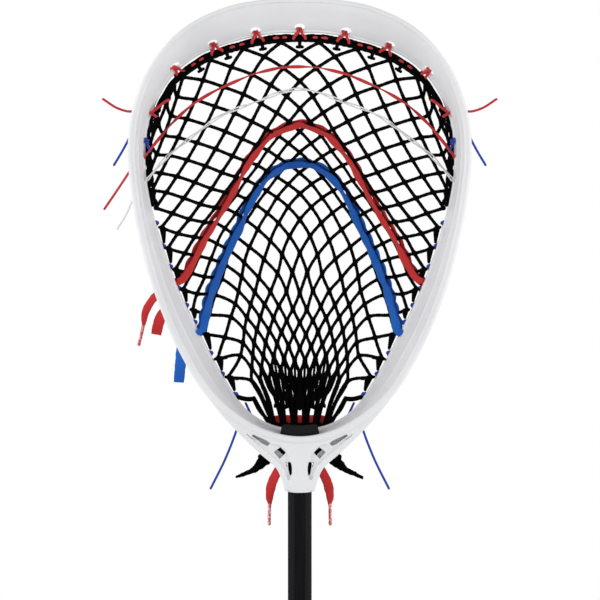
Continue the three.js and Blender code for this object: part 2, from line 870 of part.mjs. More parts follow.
// A round string through points, with its radius at each
function stringGeometry(points, radii, sides = 5) {
  const normal = new THREE.Vector3();
  const rings = points.map((point, i) => {
    const before = points[Math.max(i - 1, 0)];
    const after = points[Math.min(i + 1, points.length - 1)];
    const along = after.clone().sub(before).normalize();
    if (i === 0) normal.set(0, 1, 0);
    normal.projectOnPlane(along).normalize();
    const across = new THREE.Vector3().crossVectors(along, normal);
    const ring = [];
    for (let k = 0; k < sides; k++) {
      const angle = (2 * Math.PI * k) / sides;
      const radius = radii[i];
      ring.push(
        point
          .clone()
          .addScaledVector(normal, radius * Math.cos(angle))
          .addScaledVector(across, radius * Math.sin(angle)),
      );
    }
    return ring;
  });
  return skin(rings);
}

// The way from a rail's inner edge round its inside into a string hole
function intoHole(u, radius) {
  const place = station(u);
  const clear = backBead * place.slim + radius + gap;
  return [
    onWall(place, place.depth + clear * 0.78, clear * 0.78),
    onWall(place, place.depth, clear * 1.08),
    onWall(place, place.depth - tieHoleInset * 0.75, clear * 0.9),
    onWall(place, place.depth - tieHoleInset, radius + wallHalf / 2),
    onWall(place, place.depth - tieHoleInset, 0),
  ];
}
const rightPlace = (share) => placeAtHeight(share * headHeight);

// Lashing along the scoop's inner edge that loops through each hole
function topStringGeometry() {
  const clear = topStringRadius + 2 * gap;
  const rightHoles = topHoleShares.slice(1).map((share) => placeAtWidth(share * headHalfWidth)).reverse();
  const stops = [...rightHoles, 0.5, ...rightHoles.map(otherSide).reverse()];
  const foot = 0.0048; // of the way round the loop
  const knee = 0.0022;
  const beside = (u, along, off) => onWall(station(u), station(u).depth + along, off);
  const rest = (from, to, share) => {
    const u = from + (to - from) * share;
    return beside(u, station(u).slim * backBead + clear, 0);
  };
  const end = rightPlace(topStringHoleShare);
  const points = intoHole(end, topStringRadius).reverse();
  let last = end;
  for (const u of [...stops, otherSide(end)]) {
    const near = last === end ? end : last + 2 * foot;
    const far = u === otherSide(end) ? u : u - 2 * foot;
    for (const share of last === end || u === otherSide(end) ? [0.18, 0.45, 0.72] : [0.5]) {
      points.push(rest(near, far, share));
    }
    last = u;
    if (u === otherSide(end)) break;
    const rail = station(u).slim * backBead + clear;
    points.push(beside(u - 2 * foot, rail, 0));
    points.push(beside(u - foot, rail * 0.85, rail * 0.85));
    points.push(beside(u - (foot + knee) / 2, 0, rail * 1.08));
    points.push(beside(u - knee, -topHoleInset * 0.6, rail * 0.95));
    points.push(beside(u, -topHoleInset, 0));
    points.push(beside(u + knee, -topHoleInset * 0.6, -rail * 0.95));
    points.push(beside(u + (foot + knee) / 2, 0, -rail * 1.08));
    points.push(beside(u + foot, rail * 0.85, -rail * 0.85));
    points.push(beside(u + 2 * foot, rail, 0));
  }
  points.push(...intoHole(otherSide(end), topStringRadius));
  return stringGeometry(points, points.map(() => topStringRadius));
}

// Knotted string along the back of a side wall's rail
function sideStringGeometry(side) {
  const points = intoHole(rightPlace(sideStringHoleShare), sideStringRadius).reverse();
  const radii = points.map(() => sideStringRadius);
  const knotLength = 2.4 * sideKnotRadius;
  const add = (z, radius) => {
    const place = station(placeAtHeight(z));
    const lean = backBead + gap + radius;
    const point = place.backCentre.clone();
    point.addScaledVector(place.backIn, lean * Math.SQRT1_2);
    point.y += lean * Math.SQRT1_2;
    points.push(point);
    radii.push(radius);
  };
  knotHoleShares.forEach((share, i) => {
    const z = share * headHeight;
    const next = knotHoleShares[i + 1] * headHeight;
    add(z + knotLength, sideStringRadius);
    add(z, sideKnotRadius);
    add(z - knotLength, sideStringRadius);
    if (z - next > 5 * knotLength) add((z + next) / 2, sideStringRadius);
  });
  for (const point of intoHole(rightPlace(lowStringHoleShare), sideStringRadius)) {
    points.push(point);
    radii.push(sideStringRadius);
  }
  if (side < 0) points.forEach((point) => point.setX(-point.x));
  return stringGeometry(points, radii);
}

// Strings and laces that cross the mesh, as columns and rows of its lattice
function crossing(route, lift, steps) {
  const curve = new THREE.CatmullRomCurve3(
    route.map(([c, r]) => new THREE.Vector3(c, 0, r)),
    false,
    "centripetal",
  );
  return curve.getPoints(steps).map((p) => onMesh(p.x, p.z, lift));
}
const mirrorRoute = (half) => [...half, ...half.slice(0, -1).map(([c, r]) => [-c, r]).reverse()];
const redStringRoute = mirrorRoute([
  [-11, 4.1],
  [-9.9, 3.47],
  [-8.32, 2.88],
  [-6.87, 2.5],
  [-4.38, 2.17],
  [-2.14, 2.1],
  [0, 2.05],
]);
const whiteStringRoute = mirrorRoute([
  [-11.3, 6.7],
  [-9.95, 5.79],
  [-8.37, 5.04],
  [-6.84, 4.42],
  [-3.98, 4.09],
  [-1.2, 3.9],
  [0, 3.82],
]);
const redLaceRoute = mirrorRoute([
  [-10.5, 17.3],
  [-9.11, 15.68],
  [-7.78, 14.29],
  [-6.9, 12.78],
  [-6, 10.68],
  [-5.08, 8.93],
  [-3.52, 7.44],
  [-1.98, 6.99],
  [0, 6.84],
]);
const blueLaceRoute = mirrorRoute([
  [-11, 21.4],
  [-9.82, 19.45],
  [-8.34, 17.92],
  [-6.76, 16.48],
  [-5.64, 15.07],
  [-4.25, 12.3],
  [-3.36, 11.18],
  [-2.4, 10.64],
  [0, 10.31],
]);

// The last stretch, from the mesh's front over the rail's inside to the hole
function overRail(share, side, half) {
  const u = rightPlace(share);
  const place = station(side > 0 ? u : otherSide(u));
  const clear = backBead * place.slim + half + gap;
  const over = [
    [-clear * 1.3, clear * 1.3],
    [-tieHoleInset * 0.75, clear * 0.85],
    [-tieHoleInset, wallHalf + half + gap],
  ];
  return over.map(([along, off]) => ({
    point: onWall(place, place.depth + along, off),
    normal: place.inner.clone().negate(),
  }));
}

function across(route, half, holeShare, steps) {
  const places = crossing(route, strandThickness + half + lieAbove, steps);
  return [...overRail(holeShare, -1, half).reverse(), ...places, ...overRail(holeShare, 1, half)];
}

function shootingString(route, holeShare) {
  const places = across(route, shootingRadius, holeShare, 32);
  return stringGeometry(places.map((place) => place.point), places.map(() => shootingRadius));
}

function shootingLace(route, holeShare) {
  return skin(ribbonRings(across(route, laceHalf, holeShare, 36), laceHalfWidth, laceHalf));
}

// Hand-set routes: the lace under the mesh from the ring's back edge at the throat, and every free end from
// there or from the middle of the left hole that it leaves
const fromPoint = (start, route) => route.map(([x, y, z]) => [start.x + x, start.y + y, start.z + z]);
const fromThroat = (route) => fromPoint(station(0).back, route);
function fromHole(share, route) {
  const place = station(otherSide(rightPlace(share)));
  return fromPoint(onWall(place, place.depth - tieHoleInset, 0), route);
}
const bottomLaceRoute = fromThroat([
  [-14, -15.58, -26.47],
  [-16, -5.08, -16.47],
  [-19, 7.92, -7.47],
  [-21.5, 10.92, -0.47],
  [-19.5, 9.92, 5.53],
  [-7, 8.72, 6.03],
  [7, 8.72, 6.03],
  [19.5, 9.92, 5.53],
  [21.5, 10.92, -0.47],
  [19, 7.92, -7.47],
  [16, -5.08, -16.47],
  [14, -15.58, -26.47],
]);
const topTailRoute = fromHole(topStringHoleShare, [
  [-0.4, 0.16, 0.13],
  [-4.1, 1.26, 1.43],
  [-8.7, 3.06, 0.73],
  [-14.2, 5.06, -1.77],
  [-26.2, 7.06, 1.23],
  [-39.2, 8.06, 9.43],
]);
const sideTailRoute = fromHole(sideStringHoleShare, [
  [-0.4, 0.12, 0.13],
  [-4.2, 1.12, 1.23],
  [-8.1, 2.42, -3.37],
  [-11.9, 4.02, -15.37],
  [-19.3, 6.02, -29.87],
  [-27.5, 7.02, -43.57],
]);
const redStringTailRoute = fromHole(redStringHoleShare, [
  [-0.38, 0.1, 0.01],
  [-3.38, 0.7, 0.01],
  [-6.98, 2.2, -7.49],
  [-19.98, 4, -27.49],
  [-31.98, 5, -44.99],
]);
const whiteStringTailRoute = fromHole(whiteStringHoleShare, [
  [-0.38, 0.06, -0.01],
  [-3.48, 0.76, -0.41],
  [-6.78, 2.36, -11.41],
  [-13.48, 4.96, -27.41],
  [-21.98, 5.96, -41.61],
]);
const lowTailRoute = fromHole(lowStringHoleShare, [
  [-0.23, 0.1, -0.29],
  [-1.83, 0.7, -3.69],
  [-5.73, 3.4, -17.49],
  [-15.53, 4.4, -42.49],
  [-28.43, 3.4, -68.49],
]);
const innerTailRoute = [
  [-48.6, 41.6, 76],
  [-45.8, 40.6, 70],
  [-42.7, 39.6, 63.3],
];
const meshTailRoute = fromThroat([
  [-27.3, 3.62, 5.53],
  [-26, 8.12, -1.97],
  [-28, 7.42, -11.47],
  [-33.5, 0.92, -23.47],
  [-42, -7.08, -32.97],
  [-50, -11.08, -37.47],
  [-56.5, -12.08, -40.17],
]);
const bottomTailRoute = fromThroat([
  [-14.5, -14.08, -27.97],
  [-19.5, -12.58, -36.47],
  [-25.5, -12.58, -48.17],
  [-27.7, -13.08, -59.67],
  [-27, -13.58, -67.17],
]);
const bottomAgletRoute = fromThroat([
  [-27, -13.58, -67.47],
  [-27.2, -13.88, -75.47],
  [-27.3, -14.08, -84.47],
]);
const redLaceTailRoute = fromHole(redLaceHoleShare, [
  [-1.83, 0.68, -0.72],
  [-5.33, 1.78, -1.92],
  [-11.83, 3.48, 0.68],
  [-19.83, 4.38, -0.92],
  [-26.43, 4.88, -7.42],
  [-30.33, 4.88, -14.92],
  [-30.03, 4.38, -21.42],
]);
const redAgletRoute = fromHole(redLaceHoleShare, [
  [-30.23, 4.38, -22.12],
  [-32.03, 3.88, -29.92],
  [-34.13, 3.88, -38.72],
]);
const redCutTailRoute = fromHole(redLaceHoleShare, [
  [2.27, 1.38, -10.32],
  [-1.63, 2.78, -11.92],
  [-8.33, 5.08, -13.42],
  [-14.33, 6.88, -19.42],
  [-17.13, 7.88, -29.52],
]);
const blueCutTailRoute = fromHole(blueLaceHoleShare, [
  [-1.74, 0.72, -0.89],
  [-5.64, 2.22, -3.09],
  [-9.44, 4.12, -11.49],
  [-11.44, 6.62, -28.49],
  [-12.84, 8.12, -43.49],
]);
const mirrorPath = (route) => route.map(([x, y, z]) => [-x, y, z]);

// A closed tube along a hand-set route, round or flat
function tailGeometry(route, halfWidth, half, steps) {
  const sides = 8;
  const section = new THREE.Shape();
  for (let k = 0; k < sides; k++) {
    const angle = (2 * Math.PI * (k + 0.5)) / sides;
    const corner = [half * Math.cos(angle), halfWidth * Math.sin(angle)];
    if (k === 0) section.moveTo(...corner);
    else section.lineTo(...corner);
  }
  section.closePath();
  const path = new THREE.CatmullRomCurve3(route.map(([x, y, z]) => new THREE.Vector3(x, y, z)));
  return new THREE.ExtrudeGeometry(section, { steps, extrudePath: path });
}

// A corner of the mesh, twisted up as it hangs
function meshTailGeometry(route) {
  const path = new THREE.CatmullRomCurve3(route.map(([x, y, z]) => new THREE.Vector3(x, y, z)));
  const steps = 11;
  const points = path.getPoints(steps);
  const radii = points.map((_, i) => {
    const swell = Math.sin(Math.PI * Math.min(1, (1.35 * i) / steps) ** 1.3);
    return meshTailRadius * (meshTipShare + (1 - meshTipShare) * swell);
  });
  return stringGeometry(points, radii, 7);
}

const colours = {
  frame: { color: 0xe2e1e4, roughness: 0.45, metalness: 0 },
  shaft: { color: 0x19191b, roughness: 0.4, metalness: 0.6 },
  rubber: { color: 0x1c1c1c, roughness: 0.85, metalness: 0 },
  steel: { color: 0x9a9a9e, roughness: 0.35, metalness: 0.9 },
  foam: { color: 0x242424, roughness: 0.95, metalness: 0 },
  mesh: { color: 0x0c0c0d, roughness: 0.85, metalness: 0 },
  red: { color: 0xcd3030, roughness: 0.8, metalness: 0 },
  blue: { color: 0x1c62bc, roughness: 0.8, metalness: 0 },
  blueString: { color: 0x1432a0, roughness: 0.6, metalness: 0 },
  white: { color: 0xf0f0f0, roughness: 0.6, metalness: 0 },
  aglet: { color: 0xd04040, roughness: 0.25, metalness: 0 },
};

function piece(parent, name, geometry, finish) {
  const mesh = new THREE.Mesh(geometry, new THREE.MeshStandardMaterial(colours[finish]));
  mesh.name = name;
  mesh.geometry.computeVertexNormals();
  parent.add(mesh);
  return mesh;
}

const stick = new THREE.Group();
piece(stick, "end_cap", capGeometry(), "rubber");
piece(stick, "shaft", shaftGeometry(), "shaft").position.z = shaftStart;

// Everything above is placed from the collar's lower edge
const head = new THREE.Group();
head.position.z = headBase;
stick.add(head);
piece(head, "head_frame", headBody(), "frame");
const screw = piece(head, "head_screw", screwGeometry(), "steel");
screw.position.set(0, collarDepth / 2 + gap, screwHeight);
piece(head, "ball_stop", stopGeometry(), "foam");
piece(head, "mesh_pocket", meshGeometry(), "mesh");
piece(head, "top_string", topStringGeometry(), "red");
piece(head, "sidewall_string_left", sideStringGeometry(-1), "blueString");
piece(head, "sidewall_string_right", sideStringGeometry(1), "blueString");
piece(head, "shooting_string_red", shootingString(redStringRoute, redStringHoleShare), "red");
piece(head, "shooting_string_white", shootingString(whiteStringRoute, whiteStringHoleShare), "white");
piece(head, "shooting_lace_red", shootingLace(redLaceRoute, redLaceHoleShare), "red");
piece(head, "shooting_lace_blue", shootingLace(blueLaceRoute, blueLaceHoleShare), "blue");
piece(head, "bottom_lace", tailGeometry(bottomLaceRoute, bottomLaceRadius, bottomLaceRadius, 26), "red");

// Free ends, some on both sides
const round = (route, radius, steps) => tailGeometry(route, radius, radius, steps);
const flat = (route, steps) => tailGeometry(route, laceTailHalfWidth, laceTailHalf, steps);
const pairs = [
  ["top_string_tail", topTailRoute, (route) => round(route, tailRadius, 8), "red"],
  ["sidewall_string_tail", sideTailRoute, (route) => round(route, tailRadius, 8), "blueString"],
  ["lower_string_tail", lowTailRoute, (route) => round(route, tailRadius, 12), "blueString"],
  ["inner_string_tail", innerTailRoute, (route) => round(route, tailRadius, 6), "blueString"],
  ["mesh_tail", meshTailRoute, meshTailGeometry, "mesh"],
  ["bottom_lace_tail", bottomTailRoute, (route) => flat(route, 8), "red"],
  ["bottom_lace_aglet", bottomAgletRoute, (route) => round(route, agletRadius, 3), "aglet"],
];
for (const [name, route, make, finish] of pairs) {
  piece(head, `${name}_left`, make(route), finish);
  piece(head, `${name}_right`, make(mirrorPath(route)), finish);
}
piece(head, "shooting_string_red_tail", round(redStringTailRoute, tailRadius, 9), "red");
piece(head, "shooting_string_white_tail", round(whiteStringTailRoute, thinTailRadius, 9), "white");
piece(head, "shooting_lace_red_tail", flat(redLaceTailRoute, 10), "red");
piece(head, "shooting_lace_red_aglet", round(redAgletRoute, agletRadius, 3), "aglet");
piece(head, "shooting_lace_red_cut_tail", flat(redCutTailRoute, 7), "red");
piece(head, "shooting_lace_blue_cut_tail", flat(blueCutTailRoute, 7), "blue");

export default stick;
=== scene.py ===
import math
import bmesh
import bpy
import numpy as np
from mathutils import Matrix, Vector


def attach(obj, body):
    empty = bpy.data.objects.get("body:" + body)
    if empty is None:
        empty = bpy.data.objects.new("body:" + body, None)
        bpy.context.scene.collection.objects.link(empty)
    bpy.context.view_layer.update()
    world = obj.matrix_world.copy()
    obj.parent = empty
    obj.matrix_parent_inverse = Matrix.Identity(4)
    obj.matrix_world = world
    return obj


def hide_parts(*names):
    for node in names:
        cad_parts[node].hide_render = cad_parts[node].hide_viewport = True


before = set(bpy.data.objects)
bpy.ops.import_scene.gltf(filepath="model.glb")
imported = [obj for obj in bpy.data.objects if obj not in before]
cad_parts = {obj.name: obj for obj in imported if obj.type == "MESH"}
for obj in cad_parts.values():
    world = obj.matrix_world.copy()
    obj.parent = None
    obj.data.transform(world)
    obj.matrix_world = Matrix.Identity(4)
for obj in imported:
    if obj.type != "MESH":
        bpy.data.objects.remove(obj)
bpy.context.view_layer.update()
scene = bpy.context.scene

# The head's sizes, in millimetres

MM = 0.001
HEAD_BASE = 983.5  # from the butt end up to the collar's lower edge
HALF_WIDTH = 152.3
HEIGHT = 434.7
WALL_DEPTH = 48.0
WALL_HALF = 1.7
FRONT_BEAD = 3.4
BACK_BEAD = 3.2
THROAT_HALF = 84.8
THROAT_LENGTH = HEIGHT * 0.09593
RING_HEIGHT = HEIGHT - THROAT_LENGTH
TIE_INSET = 8.6  # from the back bead's centre to the string holes
TOP_INSET = 4.8  # from the back bead's centre to the scoop's holes
GAP = 0.3


def metres(points):
    """Head millimetres, from the collar's lower edge, to the frame's metres."""
    out = np.array(points, float) * MM
    out[..., 2] += HEAD_BASE * MM
    return out


def unit(v):
    v = np.asarray(v, float)
    return v / np.maximum(np.linalg.norm(v, axis=-1, keepdims=True), 1e-12)


def smooth(x, low, high):
    t = np.clip((np.asarray(x, float) - low) / (high - low), 0, 1)
    return t * t * (3 - 2 * t)


# Camera at the photograph's angle: level with the head and square to it

CAMERA_PLACE = (0.0002, -3.0, 1.1525)
CAMERA_LENS = 202.71
camera_data = bpy.data.cameras.new("camera")
camera_data.sensor_width = 36
camera_data.lens = CAMERA_LENS
camera_data.clip_end = 50
camera = bpy.data.objects.new("camera", camera_data)
camera.location = CAMERA_PLACE
camera.rotation_euler = (math.pi / 2, 0, 0)
scene.collection.objects.link(camera)
scene.camera = camera


# Curves

def catmull(points, t, closed=False):
    """Centripetal Catmull-Rom curve through points, at parameters t from 0 to 1."""
    points = np.asarray(points, float)
    spans = len(points) if closed else len(points) - 1
    place = spans * np.atleast_1d(np.asarray(t, float))
    cell = np.floor(place).astype(int)
    if closed:
        around = np.vstack([points[-1:], points, points[:2]])
    else:
        cell = np.minimum(cell, spans - 1)
        around = np.vstack([2 * points[0] - points[1], points, 2 * points[-1] - points[-2]])
    w = (place - cell)[:, None]
    p0, p1, p2, p3 = (around[cell % spans + k] for k in range(4))
    least = 1e-4
    d0, d1, d2 = (
        np.sum((b - a) ** 2, axis=1, keepdims=True) ** 0.25 for a, b in ((p0, p1), (p1, p2), (p2, p3))
    )
    d1 = np.where(d1 < least, 1, d1)
    d0 = np.where(d0 < least, d1, d0)
    d2 = np.where(d2 < least, d1, d2)
    t1 = ((p1 - p0) / d0 - (p2 - p0) / (d0 + d1) + (p2 - p1) / d1) * d1
    t2 = ((p2 - p1) / d1 - (p3 - p1) / (d1 + d2) + (p3 - p2) / d2) * d1
    return p1 + w * t1 + w ** 2 * (-3 * p1 + 3 * p2 - 2 * t1 - t2) + w ** 3 * (2 * p1 - 2 * p2 + t1 + t2)


def evenly(points, step, extra=None):
    """Resamples a polyline at even steps, and the values of extra with it."""
    points = np.asarray(points, float)
    lengths = np.concatenate([[0], np.cumsum(np.linalg.norm(np.diff(points, axis=0), axis=1))])
    count = max(2, int(round(lengths[-1] / step)) + 1)
    places = np.linspace(0, lengths[-1], count)
    out = np.stack([np.interp(places, lengths, points[:, k]) for k in range(3)], axis=1)
    if extra is None:
        return out
    extra = np.asarray(extra, float)
    return out, np.stack([np.interp(places, lengths, extra[:, k]) for k in range(extra.shape[1])], axis=1)


def curve_through(points, step, count=None):
    """A smooth line through given points, at even steps."""
    count = count or 24 * (len(points) - 1) + 1
    return evenly(catmull(points, np.linspace(0, 1, count)), step)


# Meshes

class Skin:
    """Collects tubes and balls in one mesh, with UVs in metres along and across each."""

    def __init__(self):
        self.verts = []
        self.faces = []
        self.uvs = []
        self.count = 0

    def rings(self, rings, us, vs):
        points, faces = shell(rings)
        self.verts.append(points)
        self.faces += [tuple(self.count + k for k in face) for face in faces]
        self.count += len(points)
        sides = rings.shape[1]
        wrap = np.append(vs, vs[0] + (vs[-1] - vs[0]) * sides / (sides - 1))
        for u0, u1 in zip(us[:-1], us[1:]):
            for v0, v1 in zip(wrap[:-1], wrap[1:]):
                self.uvs += [(u0, v0), (u0, v1), (u1, v1), (u1, v0)]
        self.uvs += [(us[0], v) for v in wrap[-2::-1]]
        self.uvs += [(us[-1], v) for v in wrap[:-1]]

    def tube(self, path, wide, thick=None, normals=None, sides=8, square=1.0, ends=True, flat_uv=False):
        """A tube in metres along path, with half its width and half its thickness at each point."""
        path = np.asarray(path, float)
        count = len(path)
        wide = np.broadcast_to(np.asarray(wide, float), (count,))
        thick = wide if thick is None else np.broadcast_to(np.asarray(thick, float), (count,))
        along = unit(np.gradient(path, axis=0))
        normals = transported(along) if normals is None else np.broadcast_to(normals, (count, 3))
        if ends:
            scale = np.array([0.45, 0.85])
            reach = np.array([0.9, 0.5])
            size0, size1 = min(wide[0], thick[0]), min(wide[-1], thick[-1])
            head = path[0] - along[0] * (reach * size0)[:, None]
            tail = path[-1] + along[-1] * (reach[::-1] * size1)[:, None]
            path = np.vstack([head, path, tail])
            along = np.vstack([along[:1], along[:1], along, along[-1:], along[-1:]])
            normals = np.vstack([normals[:1], normals[:1], normals, normals[-1:], normals[-1:]])
            wide = np.concatenate([wide[0] * scale, wide, wide[-1] * scale[::-1]])
            thick = np.concatenate([thick[0] * scale, thick, thick[-1] * scale[::-1]])
        across = unit(np.cross(along, normals))
        off = np.cross(across, along)
        angles = 2 * np.pi * (np.arange(sides) + 0.5) / sides
        cosines = np.sign(np.cos(angles)) * np.abs(np.cos(angles)) ** square
        sines = np.sign(np.sin(angles)) * np.abs(np.sin(angles)) ** square
        rings = (
            path[:, None, :]
            + across[:, None, :] * (wide[:, None] * cosines)[:, :, None]
            + off[:, None, :] * (thick[:, None] * sines)[:, :, None]
        )
        us = np.concatenate([[0], np.cumsum(np.linalg.norm(np.diff(path, axis=0), axis=1))])
        self.rings(rings, us, float(np.mean(wide)) * (cosines if flat_uv else angles))

    def ball(self, centre, radii, axes, rows=6, sides=8):
        """An ellipsoid, for knots."""
        centre = np.asarray(centre, float)
        axes = np.asarray(axes, float)
        polar = np.linspace(0.12, math.pi - 0.12, rows)
        angles = 2 * np.pi * np.arange(sides) / sides
        rings = np.zeros((rows, sides, 3))
        for i, angle in enumerate(polar):
            rings[i] = (
                centre
                - axes[0] * radii[0] * math.cos(angle)
                + (axes[1] * radii[1])[None, :] * (math.sin(angle) * np.cos(angles))[:, None]
                + (axes[2] * radii[2])[None, :] * (math.sin(angle) * np.sin(angles))[:, None]
            )
        self.rings(rings, polar * radii[0], angles * radii[1])

    def strand(self, path, wide, thick=None, normals=None, **form):
        """A tube in the head's millimetres."""
        thick = None if thick is None else thick * MM
        self.tube(metres(path), wide * MM, thick, normals, **form)

    def object(self, name, material):
        obj = plain_mesh(name, np.vstack(self.verts), self.faces, self.uvs)
        obj.data.shade_smooth()
        obj.data.materials.append(material)
        return obj


def transported(along):
    """Normals carried along a path without twist."""
    steep = abs(along[0][1]) > 0.9
    normal = np.array([0.0, 0.0, 1.0] if steep else [0.0, 1.0, 0.0])
    normals = np.zeros_like(along)
    for i, direction in enumerate(along):
        normal = unit(normal - direction * (normal @ direction))
        normals[i] = normal
    return normals


def plain_mesh(name, verts, faces, uvs=()):
    mesh = bpy.data.meshes.new(name)
    mesh.from_pydata(np.asarray(verts).tolist(), [], faces)
    if uvs:
        layer = mesh.uv_layers.new(name="UVMap")
        layer.data.foreach_set("uv", np.array(uvs, np.float32).ravel())
    mesh.validate()
    obj = bpy.data.objects.new(name, mesh)
    scene.collection.objects.link(obj)
    return obj


def shell(rings, looped=False):
    """Vertices and faces of a closed skin through rings of equal count."""
    rings = np.asarray(rings, float)
    rows, sides = rings.shape[:2]
    faces = []
    for i in range(rows if looped else rows - 1):
        a = i * sides
        b = ((i + 1) % rows) * sides
        for j in range(sides):
            k = (j + 1) % sides
            faces.append((a + j, a + k, b + k, b + j))
    if not looped:
        faces.append(tuple(reversed(range(sides))))
        faces.append(tuple((rows - 1) * sides + j for j in range(sides)))
    return rings.reshape(-1, 3), faces


def outward(obj):
    """Turns a closed mesh's faces out."""
    work = bmesh.new()
    work.from_mesh(obj.data)
    bmesh.ops.recalc_face_normals(work, faces=work.faces)
    work.to_mesh(obj.data)
    work.free()
    return obj


def joined_shells(name, shells):
    verts = []
    faces = []
    start = 0
    for points, polygons in shells:
        verts.append(points)
        faces.extend(tuple(start + k for k in face) for face in polygons)
        start += len(points)
    return outward(plain_mesh(name, np.vstack(verts), faces))


def combine(target, name, shells, operation):
    """Joins shells to target, or cuts them out, for good."""
    other = joined_shells(name, shells)
    change = target.modifiers.new("solid", "BOOLEAN")
    change.operation = operation
    change.solver = "EXACT"
    change.object = other
    bpy.context.view_layer.update()
    graph = bpy.context.evaluated_depsgraph_get()
    mesh = bpy.data.meshes.new_from_object(target.evaluated_get(graph))
    target.modifiers.clear()
    old = target.data
    target.data = mesh
    bpy.data.meshes.remove(old)
    bpy.data.objects.remove(other)


# Materials

def start_material(name, colour, roughness, metallic=0.0, specular=0.5):
    material = bpy.data.materials.new(name)
    material.use_nodes = True
    tree = material.node_tree
    shader = tree.nodes["Principled BSDF"]
    shader.inputs["Base Color"].default_value = (*colour, 1)
    shader.inputs["Roughness"].default_value = roughness
    shader.inputs["Metallic"].default_value = metallic
    shader.inputs["Specular IOR Level"].default_value = specular
    return material, tree, shader


def put(tree, kind, settings=None, **inputs):
    """A new node; an input is given by its name, or as n0, n1 and so on."""
    node = tree.nodes.new(kind)
    for key, value in (settings or {}).items():
        setattr(node, key, value)
    for key, value in inputs.items():
        numbered = key[0] == "n" and key[1:].isdigit()
        socket = node.inputs[int(key[1:]) if numbered else key.replace("_", " ")]
        if hasattr(value, "is_output"):
            tree.links.new(value, socket)
        else:
            socket.default_value = value
    return node


def maths(tree, operation, a, b=0.0):
    node = put(tree, "ShaderNodeMath", {"operation": operation}, n0=a, n1=b)
    return node.outputs[0]


def noise(tree, scale, detail=3.0, stretch=(1, 1, 1)):
    where = put(tree, "ShaderNodeTexCoord").outputs["Object"]
    mapped = put(tree, "ShaderNodeMapping", None, Vector=where, Scale=stretch).outputs[0]
    return put(tree, "ShaderNodeTexNoise", None, Vector=mapped, Scale=scale, Detail=detail).outputs["Fac"]


def ramp(tree, value, stops):
    node = put(tree, "ShaderNodeValToRGB", None, Fac=value)
    elements = node.color_ramp.elements
    while len(elements) < len(stops):
        elements.new(0.5)
    for element, (place, colour) in zip(elements, stops):
        element.position = place
        element.color = (*colour, 1)
    return node.outputs["Color"]


def bump(tree, shader, height, strength, distance):
    node = put(tree, "ShaderNodeBump", None, Strength=strength, Distance=distance, Height=height)
    tree.links.new(node.outputs["Normal"], shader.inputs["Normal"])


def toned(tree, shader, colour, value, tones, stops=(0.35, 0.65)):
    """The base colour, from its first share to its second as the value goes between the stops."""
    colours = [(stop, tuple(min(1.0, c * tone) for c in colour)) for stop, tone in zip(stops, tones)]
    tree.links.new(ramp(tree, value, colours), shader.inputs["Base Color"])


def roughened(tree, shader, value, low, high):
    rough = put(tree, "ShaderNodeMapRange", None, Value=value, To_Min=low, To_Max=high)
    tree.links.new(rough.outputs[0], shader.inputs["Roughness"])


def nylon_material():
    colour = (0.86, 0.855, 0.86)
    material, tree, shader = start_material("moulded_nylon", colour, 0.42, specular=0.3)
    toned(tree, shader, colour, noise(tree, 18.0, 4.0), (0.965, 1.02))
    roughened(tree, shader, noise(tree, 900.0, 2.0), 0.36, 0.5)
    bump(tree, shader, noise(tree, 1500.0, 2.0), 0.12, 0.0004)
    return material


def anodised_material():
    colour = (0.006, 0.006, 0.0068)
    material, tree, shader = start_material("black_anodised_aluminium", colour, 0.5, specular=0.05)
    streaks = noise(tree, 900.0, 3.0, (1, 1, 0.02))
    toned(tree, shader, colour, streaks, (0.8, 1.25))
    roughened(tree, shader, streaks, 0.3, 0.46)
    bump(tree, shader, streaks, 0.06, 0.0002)
    return material


def rubber_material():
    colour = (0.014, 0.014, 0.014)
    material, tree, shader = start_material("black_rubber", colour, 0.75, specular=0.3)
    grain = noise(tree, 1400.0, 4.0)
    toned(tree, shader, colour, grain, (0.75, 1.5), (0.4, 0.7))
    bump(tree, shader, grain, 0.35, 0.0005)
    return material


def steel_material():
    colour = (0.52, 0.52, 0.54)
    material, tree, shader = start_material("zinc_plated_steel", colour, 0.33, metallic=1.0)
    grain = noise(tree, 2600.0)
    toned(tree, shader, colour, grain, (0.8, 1.1))
    bump(tree, shader, grain, 0.1, 0.0002)
    return material


def foam_material():
    colour = (0.0125, 0.0125, 0.013)
    material, tree, shader = start_material("closed_cell_foam", colour, 0.95, specular=0.05)
    where = put(tree, "ShaderNodeTexCoord").outputs["Object"]
    cells = put(tree, "ShaderNodeTexVoronoi", None, Vector=where, Scale=1500.0).outputs["Distance"]
    toned(tree, shader, colour, cells, (0.6, 1.9), (0.1, 0.75))
    bump(tree, shader, cells, 0.6, 0.0004)
    return material


def yarn_material(
    name, colour, pitch, tones, roughness=0.8, sheen=0.15, relief=(0.5, 0.0004), specular=0.2
):
    """Braided or knitted cord: a diamond weave with yarn fuzz, at a pitch along and one across."""
    material, tree, shader = start_material(name, colour, roughness, specular=specular)
    where = put(tree, "ShaderNodeUVMap").outputs[0]
    split = put(tree, "ShaderNodeSeparateXYZ", None, Vector=where)
    turn, side = (maths(tree, "MULTIPLY", split.outputs[i], 2 * math.pi / pitch[i]) for i in (0, 1))
    right = maths(tree, "SINE", maths(tree, "ADD", turn, side))
    left = maths(tree, "SINE", maths(tree, "SUBTRACT", turn, side))
    weave = maths(tree, "ADD", maths(tree, "MULTIPLY", maths(tree, "MULTIPLY", right, left), 0.5), 0.5)
    fuzz = noise(tree, 2200.0)
    mixed = maths(tree, "ADD", maths(tree, "MULTIPLY", weave, 0.7), maths(tree, "MULTIPLY", fuzz, 0.3))
    toned(tree, shader, colour, mixed, tones, (0.2, 0.8))
    bump(tree, shader, mixed, *relief)
    shader.inputs["Sheen Weight"].default_value = sheen
    shader.inputs["Sheen Roughness"].default_value = 0.5
    return material


